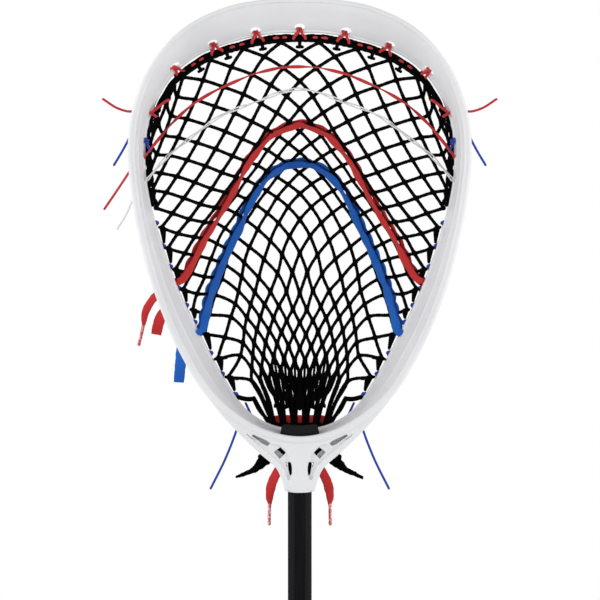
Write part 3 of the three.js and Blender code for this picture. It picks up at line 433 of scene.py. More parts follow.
def aglet_material():
    material, tree, shader = start_material("clear_red_sleeve", (0.62, 0.07, 0.08), 0.22, specular=0.6)
    # Stretched noise for the sleeve's bump and its painted highlights: where it runs high, the red turns
    # pale pink as painted glints.
    painted_glint_noise = noise(tree, 700.0, 2.0, (1, 1, 0.7))
    colours = [(0.42, (0.55, 0.04, 0.05)), (0.52, (0.7, 0.12, 0.13)), (0.6, (0.95, 0.6, 0.6))]
    tree.links.new(ramp(tree, painted_glint_noise, colours), shader.inputs["Base Color"])
    bump(tree, shader, painted_glint_noise, 0.3, 0.0004)
    shader.inputs["Coat Weight"].default_value = 0.6
    shader.inputs["Coat Roughness"].default_value = 0.08
    return material


nylon = nylon_material()
anodised = anodised_material()
rubber = rubber_material()
steel = steel_material()
foam = foam_material()
net_yarn = yarn_material(
    "knitted_polyester", (0.0032, 0.0032, 0.0036), (0.0011, 0.0016), (0.5, 1.6),
    roughness=1.0, sheen=0.0, relief=(0.7, 0.0005), specular=0.02,
)
BRAID_PITCH = (0.0013, 0.0014)
red_yarn = yarn_material("red_braided_nylon", (0.66, 0.036, 0.04), BRAID_PITCH, (0.72, 1.15))
blue_yarn = yarn_material("blue_braided_nylon", (0.02, 0.07, 0.46), BRAID_PITCH, (0.6, 1.25))
white_yarn = yarn_material("white_braided_nylon", (0.9, 0.9, 0.9), (0.0012, 0.0012), (0.86, 1.08))
LACE_WEAVE = {"pitch": (0.0016, 0.0018), "roughness": 0.85, "sheen": 0.1, "relief": (0.6, 0.0005)}
red_lace = yarn_material("red_woven_lace", (0.66, 0.036, 0.036), tones=(0.8, 1.1), **LACE_WEAVE)
blue_lace = yarn_material("blue_woven_lace", (0.016, 0.145, 0.6), tones=(0.75, 1.1), **LACE_WEAVE)
sleeve = aglet_material()


def finish_piece(obj, node):
    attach(obj, "root")
    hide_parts(node)
    return obj


# Free ends, with the routes of the CAD tails in metres

def both_sides(points):
    points = np.array(points, float)
    return ("left", points), ("right", points * (-1, 1, 1))


TOP_TAIL = [
    (-0.1372, 0.0151, 1.3229), (-0.1409, 0.0162, 1.3242), (-0.1455, 0.018, 1.3235), (-0.151, 0.02, 1.321),
    (-0.163, 0.022, 1.324), (-0.176, 0.023, 1.3322),
]
SIDE_TAIL = [
    (-0.1391, 0.0161, 1.317), (-0.1429, 0.0171, 1.3181), (-0.1468, 0.0184, 1.3135), (-0.1506, 0.02, 1.3015),
    (-0.158, 0.022, 1.287), (-0.1662, 0.023, 1.2733),
]
RED_STRING_TAIL = [
    (-0.1434, 0.0211, 1.279), (-0.1464, 0.0217, 1.279), (-0.15, 0.0232, 1.2715), (-0.163, 0.025, 1.2515),
    (-0.175, 0.026, 1.234),
]
WHITE_STRING_TAIL = [
    (-0.1419, 0.0231, 1.2579), (-0.145, 0.0238, 1.2575), (-0.1483, 0.0254, 1.2465), (-0.155, 0.028, 1.2305),
    (-0.1635, 0.029, 1.2163),
]
LOW_TAIL = [
    (-0.0517, 0.0267, 1.0517), (-0.0533, 0.0273, 1.0483), (-0.0572, 0.03, 1.0345), (-0.067, 0.031, 1.0095),
    (-0.0799, 0.03, 0.9835),
]
INNER_TAIL = [
    (-0.0486, 0.0416, 1.0595), (-0.0458, 0.0406, 1.0535), (-0.0427, 0.0396, 1.0468),
]
MESH_TAIL = [
    (-0.0273, 0.0377, 1.0425), (-0.0258, 0.0418, 1.035), (-0.0262, 0.0405, 1.0242),
    (-0.0312, 0.0345, 1.0106), (-0.0404, 0.0268, 1.001), (-0.0495, 0.0228, 0.9969),
    (-0.0562, 0.0218, 0.9942),
]
BOTTOM_TAIL = [
    (-0.0145, 0.02, 1.009), (-0.0192, 0.0215, 1.0005), (-0.0248, 0.0215, 0.9888), (-0.027, 0.021, 0.9773),
    (-0.0268, 0.0205, 0.9698),
]
BOTTOM_AGLET = [
    (-0.027, 0.0205, 0.9695), (-0.0272, 0.0202, 0.9615), (-0.0273, 0.02, 0.9525),
]
RED_LACE_TAIL = [
    (-0.112, 0.0278, 1.1507), (-0.1155, 0.0289, 1.1525), (-0.121, 0.0306, 1.1575),
    (-0.1275, 0.0315, 1.1572), (-0.1335, 0.032, 1.151), (-0.1385, 0.032, 1.1415), (-0.1402, 0.0315, 1.13),
]
RED_AGLET = [
    (-0.1404, 0.0315, 1.1293), (-0.1422, 0.031, 1.1215), (-0.1443, 0.031, 1.1127),
]
RED_CUT_TAIL = [
    (-0.1079, 0.0285, 1.1411), (-0.112, 0.0299, 1.1425), (-0.1175, 0.0322, 1.1425), (-0.1236, 0.034, 1.139),
    (-0.1272, 0.0348, 1.1303), (-0.129, 0.035, 1.1214),
]
BLUE_CUT_TAIL = [
    (-0.0976, 0.0286, 1.1211), (-0.1015, 0.0301, 1.1189), (-0.1053, 0.032, 1.1105),
    (-0.1073, 0.0345, 1.0935), (-0.1087, 0.036, 1.0785),
]
TAIL_RADIUS = 0.0011
THIN_TAIL_RADIUS = 0.0009


def round_piece(name, path, radius, material, node, sides=12):
    skin = Skin()
    skin.tube(path, radius, sides=sides)
    return finish_piece(skin.object(name, material), node)


def string_tail(node, points, radius, material):
    """A stiff nylon end: a round tube with rounded tips."""
    path = curve_through(points, 0.001)
    obj = round_piece(node + "_cord", path, radius, material, node)


for tail, route, yarn, slot in (
    ("top_string_tail", TOP_TAIL, red_yarn, "red"),
    ("sidewall_string_tail", SIDE_TAIL, blue_yarn, "blue_string"),
    ("lower_string_tail", LOW_TAIL, blue_yarn, "blue_string"),
):
    for side, points in both_sides(route):
        string_tail(f"{tail}_{side}", points, TAIL_RADIUS, yarn)
string_tail("shooting_string_red_tail", RED_STRING_TAIL, TAIL_RADIUS, red_yarn)
string_tail("shooting_string_white_tail", WHITE_STRING_TAIL, THIN_TAIL_RADIUS, white_yarn)


def tilted(path, facing, angle):
    """Facing turned about the path."""
    along = unit(np.gradient(path, axis=0))
    side = unit(np.cross(along, facing))
    front = np.cross(side, along)
    return front * np.cos(angle)[:, None] + side * np.sin(angle)[:, None]


RIBBON_STEP = 0.0007


def flat_tail(node, route, widths, material, cut=False):
    """A woven lace's end: a flat ribbon that tilts a little, cut square or drawn in at its tip."""
    path = curve_through(route, RIBBON_STEP)
    share = np.linspace(0, 1, len(path))
    wide = np.interp(share, [place for place, _ in widths], [width for _, width in widths]) * MM
    wide *= 1 + 0.02 * np.sin(share * 31) + 0.015 * np.sin(share * 57)
    normals = tilted(path, np.tile((0.0, -1.0, 0.0), (len(path), 1)), 0.25 * np.sin(share * 4.0))
    thick = np.interp(share, [0, 0.85, 1], [0.85, 0.85, 0.8 if cut else 1.3]) * MM
    skin = Skin()
    skin.tube(path, wide, thick, normals, sides=14, square=0.7, ends=not cut, flat_uv=True)
    return finish_piece(skin.object(node + "_ribbon", material), node)


def aglet(node, route):
    """A clear sleeve shrunk onto a lace, with rolled ends."""
    path = curve_through(route, 0.0005)
    share = np.linspace(0, 1, len(path))
    radii = 1.55 + 0.12 * np.exp(-((share / 0.05) ** 2)) + 0.12 * np.exp(-(((share - 1) / 0.04) ** 2))
    radii += 0.04 * np.sin(share * 23)
    return round_piece(node + "_sleeve", path, radii * MM, sleeve, node, 16)


CORNER_SIZES = ([0, 0.3, 0.5, 0.62, 0.78, 0.9, 1], [3.5, 9.6, 8.8, 5.6, 2.5, 1.5, 1.7])


def gathered_corner(node, route):
    """A corner of the net twisted together: strands round a crumpled core."""
    path = curve_through(route, 0.0008)
    share = np.linspace(0, 1, len(path))
    size = np.interp(share, *CORNER_SIZES)
    along = unit(np.gradient(path, axis=0))
    normals = transported(along)
    side = np.cross(along, normals)
    skin = Skin()
    core = size * 0.72 * (1 + 0.13 * np.sin(share * 37) + 0.08 * np.sin(share * 61))
    skin.tube(path, core * MM, core * 0.62 * MM, (0.0, -1.0, 0.0), sides=12)
    for strand in range(6):
        turn = 2 * math.pi * strand / 6 + share * 5.5
        reach = size * (0.8 + 0.13 * np.sin(share * 29 + strand * 2))
        offset = normals * (reach * np.cos(turn) * MM)[:, None]
        offset = offset + side * (reach * 0.7 * np.sin(turn) * MM)[:, None]
        stop = len(path) - 3 * strand
        radius = 1.15 * (1 + 0.1 * np.sin(share * 83 + strand)) * MM
        skin.tube((path + offset)[:stop], radius[:stop], sides=8)
    return finish_piece(skin.object(node + "_gather", net_yarn), node)


# The ring: front and back rims as shares of half width, of the height above the throat, and of depth

FRONT_RIM = [
    (0, 0.0001, -0.29), (0.184, 0.0122, -0.29), (0.355, 0.0454, -0.28), (0.535, 0.1052, -0.27),
    (0.699, 0.2058, -0.23), (0.837, 0.3308, -0.19), (0.931, 0.458, -0.17), (0.984, 0.5741, -0.17),
    (1, 0.6726, -0.19), (0.966, 0.7644, -0.23), (0.864, 0.854, -0.31), (0.69, 0.9303, -0.42),
    (0.427, 0.9812, -0.5), (0.158, 0.9989, -0.54), (0, 1, -0.56),
]
BACK_RIM = [
    (0, 0.0299, 0.71), (0.16, 0.0388, 0.71), (0.307, 0.072, 0.73), (0.44, 0.1428, 0.75),
    (0.586, 0.2467, 0.75), (0.72, 0.3551, 0.73), (0.823, 0.468, 0.71), (0.889, 0.5686, 0.67),
    (0.907, 0.6516, 0.6), (0.878, 0.7367, 0.5), (0.771, 0.8175, 0.35), (0.597, 0.875, 0.19),
    (0.357, 0.9093, 0.04), (0.131, 0.9248, -0.06), (0, 0.9248, -0.08),
]


def rim_points(shares):
    right = [(x * HALF_WIDTH, y * WALL_DEPTH, THROAT_LENGTH + z * RING_HEIGHT) for x, z, y in shares]
    left = [(-x, y, z) for x, y, z in right[1:-1]]
    return np.array(right + left[::-1], float)


front_rim = rim_points(FRONT_RIM)
back_rim = rim_points(BACK_RIM)


def rim_tangent(points, u):
    ahead = catmull(points, np.minimum(u + 1e-4, 1), True)
    behind = catmull(points, np.maximum(u - 1e-4, 0), True)
    return unit(ahead - behind)


def inwards(points, u):
    along = rim_tangent(points, u)
    here = catmull(points, u, True)
    side = unit(np.stack([along[:, 2], np.zeros(len(u)), -along[:, 0]], axis=1))
    middle = np.stack([-here[:, 0], np.zeros(len(u)), 0.55 * HEIGHT - here[:, 2]], axis=1)
    return np.where(np.sum(side * middle, axis=1, keepdims=True) < 0, -side, side)


class Stations:
    """Sections of the ring at places u round the loop: 0 is the throat, 0.5 the scoop's tip."""

    def __init__(self, u):
        u = np.atleast_1d(np.asarray(u, float)) % 1.0
        self.front = catmull(front_rim, u, True)
        self.back = catmull(back_rim, u, True)
        self.slim = 1 - 0.28 * smooth(self.back[:, 2], 0.8 * HEIGHT, 0.93 * HEIGHT)
        self.back_in = inwards(back_rim, u)
        front_in = inwards(front_rim, u)
        self.front_centre = self.front + front_in * (FRONT_BEAD * self.slim)[:, None]
        self.back_centre = self.back - self.back_in * (BACK_BEAD * self.slim)[:, None]
        across = self.back_centre - self.front_centre
        self.depth = np.linalg.norm(across, axis=1)
        self.across = unit(across)
        self.tangent = rim_tangent(front_rim, u)
        inner = unit(np.cross(self.tangent, self.across))
        flip = np.sum(inner * self.back_in, axis=1, keepdims=True) < 0
        self.inner = np.where(flip, -inner, inner)

    def at(self, along, off):
        along = np.broadcast_to(np.asarray(along, float), self.depth.shape)
        off = np.broadcast_to(np.asarray(off, float), self.depth.shape)
        return self.front_centre + self.across * along[:, None] + self.inner * off[:, None]

    def beside(self, past, off):
        """From the back bead's centre: past it, and off towards the inside."""
        return self.at(self.depth + past, off)


fine_u = np.linspace(0, 0.5, 4001)
fine_back = catmull(back_rim, fine_u, True)


def place_at_height(z):
    below = fine_back[:, 2] <= z
    return float(fine_u[np.nonzero(below)[0][-1]]) if below.any() else 0.0


def place_at_width(x):
    upper = (fine_back[:, 2] > 0.7 * HEIGHT) & (fine_back[:, 0] < x)
    return float(fine_u[np.nonzero(upper)[0][0]]) if upper.any() else 0.5


def other_side(u):
    return (1 - u) % 1.0


TOP_HOLES = [0, 0.261, 0.513, 0.733]
TOP_HOLES_LEFT = [0, 0.249, 0.495, 0.711]
KNOT_HOLES = [0.715, 0.605, 0.548, 0.5, 0.458, 0.413, 0.378, 0.343, 0.279, 0.236, 0.193]
PASSAGES = [0.773, 0.76, 0.676, 0.63, 0.393, 0.327, 0.165]


def scoop_holes():
    """The scoop's holes, from the right side to the left."""
    right = [place_at_width(share * HALF_WIDTH) for share in TOP_HOLES[:0:-1]]
    left = [other_side(place_at_width(share * HALF_WIDTH)) for share in TOP_HOLES_LEFT[1:]]
    return right + [0.5] + left


NECK = 1.55
RIB_PROFILE = [
    (1.0, 0.0), (0.62, 0.0), (0.5, 0.25), (0.46, 1.0), (0.42, 1.0), (0.38, 0.25), (0.3, 0.0), (0.0, 0.0),
]


def ring_shell():
    """The moulded ring: rounded rims, a thin wall between, and a low rib along the wall's inside."""
    count = 320
    place = Stations(np.arange(count) / count)
    arc = np.radians(np.arange(40, 321, 20))
    height = place.front[:, 2]
    flush = smooth(height, 0.8 * HEIGHT, 0.93 * HEIGHT)
    rib = 0.55 * smooth(height, 55, 110) * (1 - smooth(height, 300, 370))
    front, back = FRONT_BEAD * place.slim, BACK_BEAD * place.slim
    front_out, back_out = flush * (front - WALL_HALF) / 2, flush * (back - WALL_HALF) / 2
    front, back = front - front_out, back - back_out

    def wall(share, off):
        return place.at(front * NECK + (place.depth - back * NECK - front * NECK) * share, off)

    rows = [place.at(front * math.cos(angle), front * math.sin(angle) - front_out) for angle in arc]
    rows += [wall(share, -WALL_HALF) for share in (0.0, 0.5, 1.0)]
    for angle in arc + math.pi:
        rows.append(place.beside(back * math.cos(angle), back * math.sin(angle) - back_out))
    rows += [wall(share, WALL_HALF + rib * rise) for share, rise in RIB_PROFILE]
    return shell(np.stack(rows, axis=1), looped=True)


THROAT_FRONT = [
    (0.207, 0.157), (0.255, 0.2375), (0.419, 0.378), (0.651, 0.595), (0.86, 0.822), (1, 1), (0.93, 1.02),
    (0.767, 0.835), (0.605, 0.71), (0.326, 0.568), (0, 0.511),
]
THROAT_BACK = [
    (0.165, 0.16), (0.186, 0.27), (0.349, 0.432), (0.581, 0.656), (0.785, 0.87), (0.895, 1), (0.851, 1.045),
    (0.709, 0.892), (0.57, 0.744), (0.297, 0.6), (0, 0.547),
]
OUTER_WINDOW = [(0.532, 0.59), (0.3, 0.492), (0.348, 0.453)]
SQUARE_WINDOW = [(0.202, 0.445), (0.143, 0.39), (0.209, 0.33), (0.271, 0.397)]
SLOT = [(0.126, 0.295), (0.092, 0.295), (0.081, 0.227), (0.086, 0.162), (0.105, 0.161), (0.12, 0.227)]
WINDOW_FLOOR = [
    (46, 52), (24, 44.5), (20.6, 37.1), (15, 32), (16.5, 27), (24.5, 25.5), (34, 33.5), (48, 47.5),
]
SIDE_SLOT = [(0.15, 0.294), (0.13, 0.294), (0.13, 0.235)]

SHAFT_WIDTH = 21.3
SHAFT_DEPTH = 25.4
SHAFT_CORNER = 6.0
SOCKET_DEPTH = 36.0
SOCKET_WALL = 2.3
COLLAR_WIDTH = SHAFT_WIDTH + 2 * GAP + 2 * SOCKET_WALL
COLLAR_DEPTH = SHAFT_DEPTH + 2 * GAP + 2 * SOCKET_WALL
SCREW_HEIGHT = 14.0

front_line = catmull(front_rim, fine_u[:1500], True)
THROAT_HEIGHT = float(np.interp(THROAT_HALF, front_line[:, 0], front_line[:, 2]))


def scaled(shares):
    return np.array(shares, float) * (THROAT_HALF, THROAT_HEIGHT)


def flat_curve(points, per):
    """A smooth plane line through points, without its last point."""
    lifted = np.column_stack([points, np.zeros(len(points))])
    count = (len(points) - 1) * per
    return catmull(lifted, np.arange(count) / count)[:, :2]


def throat_outline(shares):
    side = scaled(shares)
    collar = np.array([[COLLAR_WIDTH / 2, 0.0]])
    outer = flat_curve(np.vstack([collar, side[:6]]), 5)
    upper = flat_curve(side[6:], 5)
    right = np.vstack([outer, side[5:6], upper])
    left = right[::-1] * (-1, 1)
    return np.vstack([right, side[-1:], left])


def inset(outline, distance, limit=2.0):
    """A plane outline moved inwards."""
    before = unit(outline - np.roll(outline, 1, axis=0))
    after = unit(np.roll(outline, -1, axis=0) - outline)
    x, z = outline[:, 0], outline[:, 1]
    area = np.sum(x * np.roll(z, -1) - np.roll(x, -1) * z)
    mitre = np.column_stack([-before[:, 1] - after[:, 1], before[:, 0] + after[:, 0]])
    scale = 2 * np.sign(area) * distance / np.maximum(np.sum(mitre ** 2, axis=1), 0.3)
    move = mitre * scale[:, None]
    reach = np.linalg.norm(move, axis=1, keepdims=True)
    return outline + move * np.minimum(1, limit * abs(distance) / np.maximum(reach, 1e-9))


def rounded(outline, rounds=2):
    """Corners cut off a closed plane outline, in rounds."""
    for _ in range(rounds):
        ahead = np.roll(outline, -1, axis=0)
        cut = np.stack([outline * 0.8 + ahead * 0.2, outline * 0.2 + ahead * 0.8], axis=1)
        outline = cut.reshape(-1, 2)
    return outline


def both_ways(outline):
    """A plane outline and its mirror image."""
    return outline, outline * (-1, 1)


def raised(outline, y):
    return np.column_stack([outline[:, 0], np.full(len(outline), y), outline[:, 1]])


def flat_ring(outline, z):
    return np.column_stack([outline, np.full(len(outline), z)])


def octagon(width, depth, corner):
    x, y = width / 2, depth / 2
    return np.array([
        (x, y - corner), (x - corner, y), (corner - x, y), (-x, y - corner),
        (-x, corner - y), (corner - x, -y), (x - corner, -y), (x, corner - y),
    ])


FACE = -COLLAR_DEPTH / 2  # the throat's front face; the back one is as far behind the middle
FIELD_TOP = [(44.0, 47.5), (30.0, 41.8), (19.5, 41.0), (14.0, 38.0), (9.0, 31.0), (7.6, 20.0), (8.2, 11.0)]
FIELD_DEPTH = 2.2
SCREW_HOLE = 2.2
STRAIGHT = ((-0.5, 1), (0.5, 1))
FLARED = ((-0.5, 1.22), (-0.25, 1), (0.25, 1), (0.5, 1.22))


def throat_plate():
    """The throat, still solid, from its front outline to its back one, with eased edges."""
    front, back = throat_outline(THROAT_FRONT), throat_outline(THROAT_BACK)
    depth = -2 * FACE
    eased = [(0, 1.5), (0.3, 0.7), (0.9, 0.2), (1.6, 0), (depth / 2, 0)]
    eased += [(depth - 1.2, 0), (depth - 0.6, 0.2), (depth, 0.8)]
    rings = []
    for step, inward in eased:
        share = step / depth
        rings.append(raised(inset(front * (1 - share) + back * share, inward), FACE + step))
    return shell(rings)


def hollow_outline(shares):
    """Inside the throat's walls, straight across below the ring."""
    side = scaled([pair for i, pair in enumerate(shares) if i not in (5, 6)])
    half = np.vstack([[(COLLAR_WIDTH / 2, 0.0)], side])
    whole = np.vstack([half, half[-2::-1] * (-1, 1)])
    return rounded(inset(whole, 3.0, limit=3.0))


def collar_block():
    """The socket's outside, whose lower edge hangs lowest at the middle."""
    outer = rounded(octagon(COLLAR_WIDTH, COLLAR_DEPTH, SHAFT_CORNER))
    steps = [(0.9, -0.2), (0.25, 0.1), (0, 0.9), (0, SOCKET_DEPTH + SOCKET_WALL)]
    lip = np.stack([flat_ring(inset(outer, inward), z) for inward, z in steps])
    droop = 1.3 * (1 - (lip[..., 0] / (COLLAR_WIDTH / 2)) ** 2).clip(0, 1) * (lip[..., 2] < 2)
    lip[..., 2] -= droop
    return shell(lip)


def throat_fields():
    """Shallow fields round the windows, which leave the rails and the middle panel raised."""
    rail = inset(throat_outline(THROAT_FRONT), 5.2)
    keep = (rail[:, 0] > 9) & (rail[:, 1] > 9) & (rail[:, 1] < 54) & (np.arange(len(rail)) < 28)
    fields = []
    for outline in both_ways(rounded(np.vstack([rail[keep], FIELD_TOP]), 1)):
        above = [raised(inset(outline, -1.2), FACE - 3), raised(inset(outline, -0.5), FACE)]
        fields.append(shell(above + [raised(outline, FACE + FIELD_DEPTH)]))
    return fields


def throat_windows():
    """The windows, with a small chamfer, each to its own depth."""
    windows = []
    for shares, far, rounds in [
        (OUTER_WINDOW, FACE + 5.0, 1),
        (SQUARE_WINDOW, FACE + 5.0, 0),
        (SLOT, 0, 2),
        (SIDE_SLOT, 4 - FACE, 2),
    ]:
        for shape in both_ways(rounded(scaled(shares), rounds)):
            chamfer = [raised(inset(shape, -0.9), FACE - 1.5), raised(inset(shape, -0.45), FACE + 1.9)]
            windows.append(shell(chamfer + [raised(shape, FACE + 2.7), raised(shape, far)]))
    return windows


def drill(radius, length, centre, direction, sides, form=FLARED):
    """A round cutter, centred on a point, with its width at shares of its length."""
    direction = unit(direction)
    side = unit(np.cross(direction, (0.3, 0.2, 0.9)))
    up = np.cross(direction, side)
    angles = 2 * np.pi * np.arange(sides) / sides
    ring = side * np.cos(angles)[:, None] + up * np.sin(angles)[:, None]
    return shell([centre + direction * length * t + ring * (radius * wide) for t, wide in form])


def head_holes():
    """The screw's hole, the scoop's holes, and the string holes and passages in both side walls."""
    holes = [drill(SCREW_HOLE, 5.2, np.array([0, -FACE, SCREW_HEIGHT]), (0, 1.0, 0), 20)]
    for number, u in enumerate(scoop_holes()):
        place = Stations(u)
        wider = 1.2 if number in (0, 6) else 0
        holes.append(drill(4.9 + wider, 10.0, place.beside(-TOP_INSET - wider, 0)[0], place.inner[0], 32))
    for share in KNOT_HOLES + PASSAGES:
        u = place_at_height(share * HEIGHT)
        for side in (u, other_side(u)):
            place = Stations(side)
            holes.append(drill(2.3, 8.0, place.beside(-TIE_INSET, -4.0)[0], place.inner[0], 16))
    return holes


def whole_part(obj, material, sharp, node, place=(0, 0, 0)):
    """Millimetres from a place up the stick to metres, then shaded and dressed."""
    co = np.zeros(len(obj.data.vertices) * 3)
    obj.data.vertices.foreach_get("co", co)
    obj.data.vertices.foreach_set("co", ((co.reshape(-1, 3) + place) * MM).ravel())
    obj.data.materials.clear()
    obj.data.materials.append(material)
    obj.data.shade_smooth()
    obj.data.set_sharp_from_angle(angle=math.radians(sharp))
    return finish_piece(obj, node)


def head_frame():
    """The moulded head: the ring, the hollow-backed throat with its windows, the socket and every hole."""
    head = joined_shells("head_shell", [ring_shell()])
    combine(head, "throat", [throat_plate()], "UNION")
    inside = [
        raised(hollow_outline(THROAT_FRONT), FACE + 3.2),
        raised(hollow_outline(THROAT_BACK), 4 - FACE),
    ]
    combine(head, "hollow", [shell(inside)], "DIFFERENCE")
    outlines = both_ways(np.array(WINDOW_FLOOR))
    floors = [shell([raised(outline, FACE + y) for y in (7.0, 9.0)]) for outline in outlines]
    combine(head, "floors", floors, "UNION")
    combine(head, "collar", [collar_block()], "UNION")
    bore = octagon(SHAFT_WIDTH + 2 * GAP, SHAFT_DEPTH + 2 * GAP, SHAFT_CORNER)
    combine(head, "bore", [shell([flat_ring(bore, z) for z in (-4, SOCKET_DEPTH + GAP)])], "DIFFERENCE")
    combine(head, "fields", throat_fields(), "DIFFERENCE")
    for window in throat_windows():
        combine(head, "window", [window], "DIFFERENCE")
    combine(head, "holes", head_holes(), "DIFFERENCE")
    return whole_part(head, nylon, 33, "head_frame", (0, 0, HEAD_BASE))


head_frame()


# Shaft, end cap, head screw and ball stop

SHAFT_START = 3.5
SHAFT_LENGTH = 1016.0
SHAFT_WALL = 1.6
SHAFT_EASE = 0.5


def fluted_outline(width, depth, corner, hollow_by):
    """The eight-sided shaft: rounded corners and slightly hollow faces."""
    corners = octagon(width, depth, corner)
    points = []
    for a, b in zip(corners, np.roll(corners, -1, axis=0)):
        along = unit(b - a)
        normal = np.array([-along[1], along[0]])
        if normal @ ((a + b) / 2) > 0:
            normal = -normal
        for t in np.linspace(0.08, 0.92, 8):
            points.append(a + (b - a) * t + normal * hollow_by * math.sin(math.pi * t) ** 1.2)
    return np.array(points)


def shaft_tube():
    outer = fluted_outline(SHAFT_WIDTH, SHAFT_DEPTH, SHAFT_CORNER, 0.35)
    walls = 2 * SHAFT_WALL
    inner = fluted_outline(SHAFT_WIDTH - walls, SHAFT_DEPTH - walls, SHAFT_CORNER - 0.8, 0)
    eased = inset(outer, SHAFT_EASE)
    levels = [(eased, 0.0), (outer, SHAFT_EASE), (outer, SHAFT_LENGTH - SHAFT_EASE), (eased, SHAFT_LENGTH)]
    levels += [(inner, SHAFT_LENGTH), (inner, 0.0)]
    rings = np.stack([flat_ring(outline, SHAFT_START + z) for outline, z in levels])
    obj = joined_shells("shaft_tube", [shell(rings, looped=True)])
    centre = np.array([0, SHAFT_DEPTH / 2, HEAD_BASE + SCREW_HEIGHT])
    combine(obj, "shaft_hole", [drill(SCREW_HOLE, 6.0, centre, (0, 1.0, 0), 24, STRAIGHT)], "DIFFERENCE")
    return whole_part(obj, anodised, 30, "shaft")


def end_cap():
    """A rubber cup with a rounded foot and three grip grooves."""
    wall = 2.5
    base = rounded(octagon(SHAFT_WIDTH + 2 * wall, SHAFT_DEPTH + 2 * wall, SHAFT_CORNER + GAP), 3)
    levels = [(2.2, 0.0), (1.0, 0.25), (0.3, 0.9), (0.0, 1.8), (0.0, 6.2)]
    for z in (7.0, 11.0, 15.0):
        levels += [(0.0, z - 0.5), (0.75, z), (0.75, z + 0.8), (0.0, z + 1.3)]
    levels += [(0.0, 23.0), (0.25, 23.6), (0.8, 24.0)]
    rings = [flat_ring(inset(base, inward), z) for inward, z in levels]
    inside = rounded(octagon(SHAFT_WIDTH + 2 * GAP, SHAFT_DEPTH + 2 * GAP, SHAFT_CORNER), 3)
    rings += [flat_ring(inside, 24.0), flat_ring(inside, 3.2)]
    obj = joined_shells("rubber_end_cap", [shell(np.stack(rings))])
    return whole_part(obj, rubber, 40, "end_cap")


def lathe(profile, sides=48):
    """A solid turned about the Y axis from pairs of radius and place."""
    angles = 2 * np.pi * np.arange(sides) / sides
    circle = np.column_stack([np.cos(angles), np.zeros(sides), np.sin(angles)])
    return shell([circle * r + (0, y, 0) for r, y in profile])


def head_screw():
    """A pan-headed screw in the back of the collar, its slot across it."""
    shank = 7.0
    profile = [(0.8, -shank), (1.4, -shank), (1.9, -shank + 0.6), (1.9, 0), (4.0, 0), (4.0, 0.7)]
    for angle in np.radians(np.arange(10, 85, 12)):
        profile.append((2.2 + 1.8 * math.cos(angle), 0.7 + 1.6 * math.sin(angle)))
    profile.append((0.05, 2.4))
    screw = joined_shells("pan_head_screw", [lathe(profile)])
    slot = np.array([(-6, -0.55), (6, -0.55), (6, 0.55), (-6, 0.55)], float)
    combine(screw, "screw_slot", [shell([raised(slot, 1.35), raised(slot, 5)])], "DIFFERENCE")
    place = (0, COLLAR_DEPTH / 2 + GAP, HEAD_BASE + SCREW_HEIGHT)
    return whole_part(screw, steel, 35, "head_screw", place)


def ball_stop():
    """A soft foam pad on the inside of the throat, full at the middle and rounded at its edges."""
    half = 16.5
    xs = half * np.sin(np.linspace(-math.pi / 2, math.pi / 2, 33))
    u = np.interp(np.abs(xs), fine_back[:700, 0], fine_u[:700])
    place = Stations(np.where(xs < 0, other_side(u), u))
    start, end = 4.0, 34.0
    low, thick = 2.5, 6.4
    count = 28
    angles = 2 * np.pi * (np.arange(count) + 0.5) / count
    across = np.sign(np.cos(angles)) * np.abs(np.cos(angles)) ** 0.28
    upward = np.sign(np.sin(angles)) * np.abs(np.sin(angles)) ** 0.4
    edge = np.maximum((1 - np.minimum(1, np.abs(xs) / half) ** 10) ** 0.5, 0.05)
    rows = []
    for a, b in zip(across, upward):
        along = (start + end) / 2 + a * (end - start) / 2 * (0.94 + 0.06 * edge)
        crown = 0.35 * (1 - a * a) * np.maximum(b, 0)
        off = low + thick / 2 + b * thick / 2 * (0.55 + 0.45 * edge)
        rows.append(place.at(along, off - (1 - edge) * thick * 0.2 + crown * edge))
    rings = metres(np.stack(rows, axis=1))
    skin = Skin()
    us = np.concatenate([[0], np.cumsum(np.linalg.norm(np.diff(rings.mean(axis=1), axis=0), axis=1))])
    skin.rings(rings, us, angles * 0.006)
    obj = outward(skin.object("foam_ball_stop", foam))
    finish_piece(obj, "ball_stop")
    return obj


shaft_tube()
end_cap()
head_screw()
ball_stop()


# The net: a lattice of knots that hangs from its ties, its strands pulling only where they are taut

COLUMNS = 12
ROWS = 29
GATHERED = 26
SIDE_TIES = [0.784, 0.714, 0.653, 0.614, 0.577, 0.536, 0.493, 0.449, 0.408, 0.365, 0.3155, 0.264, 0.2252]
TOP_TIES = [0.114, 0.344, 0.545, 0.714, 0.765, 0.815]
TOP_BANDS = [1, 1, 1, 0.85, 0.7, 0.65]
STRANDS = [(0, 19.8), (0.17, 17.6), (0.41, 15.7), (0.62, 19.6), (1, 34.0)]  # lengths at shares of the rows
NET_STEP = 1.15
EDGE_STEP = 1.2
TIE_STEP = 1.1
HANGING_STEPS = 420
PULLS = 14
throat_back = Stations(0).back[0]


def tie_point(c, r):
    way = np.sign(c)
    if r == 0:
        k = (abs(c) - 1) // 2
        place = Stations(place_at_width(TOP_TIES[k] * HALF_WIDTH))
        x, y, z = (place.back + place.back_in * 7.6 * TOP_BANDS[k])[0]
        return np.array([way * x, y, z])
    if r == ROWS:
        x = c * 2.4
        return np.array([x, throat_back[1] + 4, throat_back[2] + 6.4 + x * x / (2 * HALF_WIDTH)])
    if abs(c) < COLUMNS:
        return None
    k = (r - 1) // 2
    if k < len(SIDE_TIES):
        place = Stations(place_at_height(SIDE_TIES[k] * HEIGHT))
        x, y, z = (place.back + place.back_in * 3.2)[0]
        return np.array([way * x, y, z])
    return np.array([way * 41.2, 42.0, 80.0])


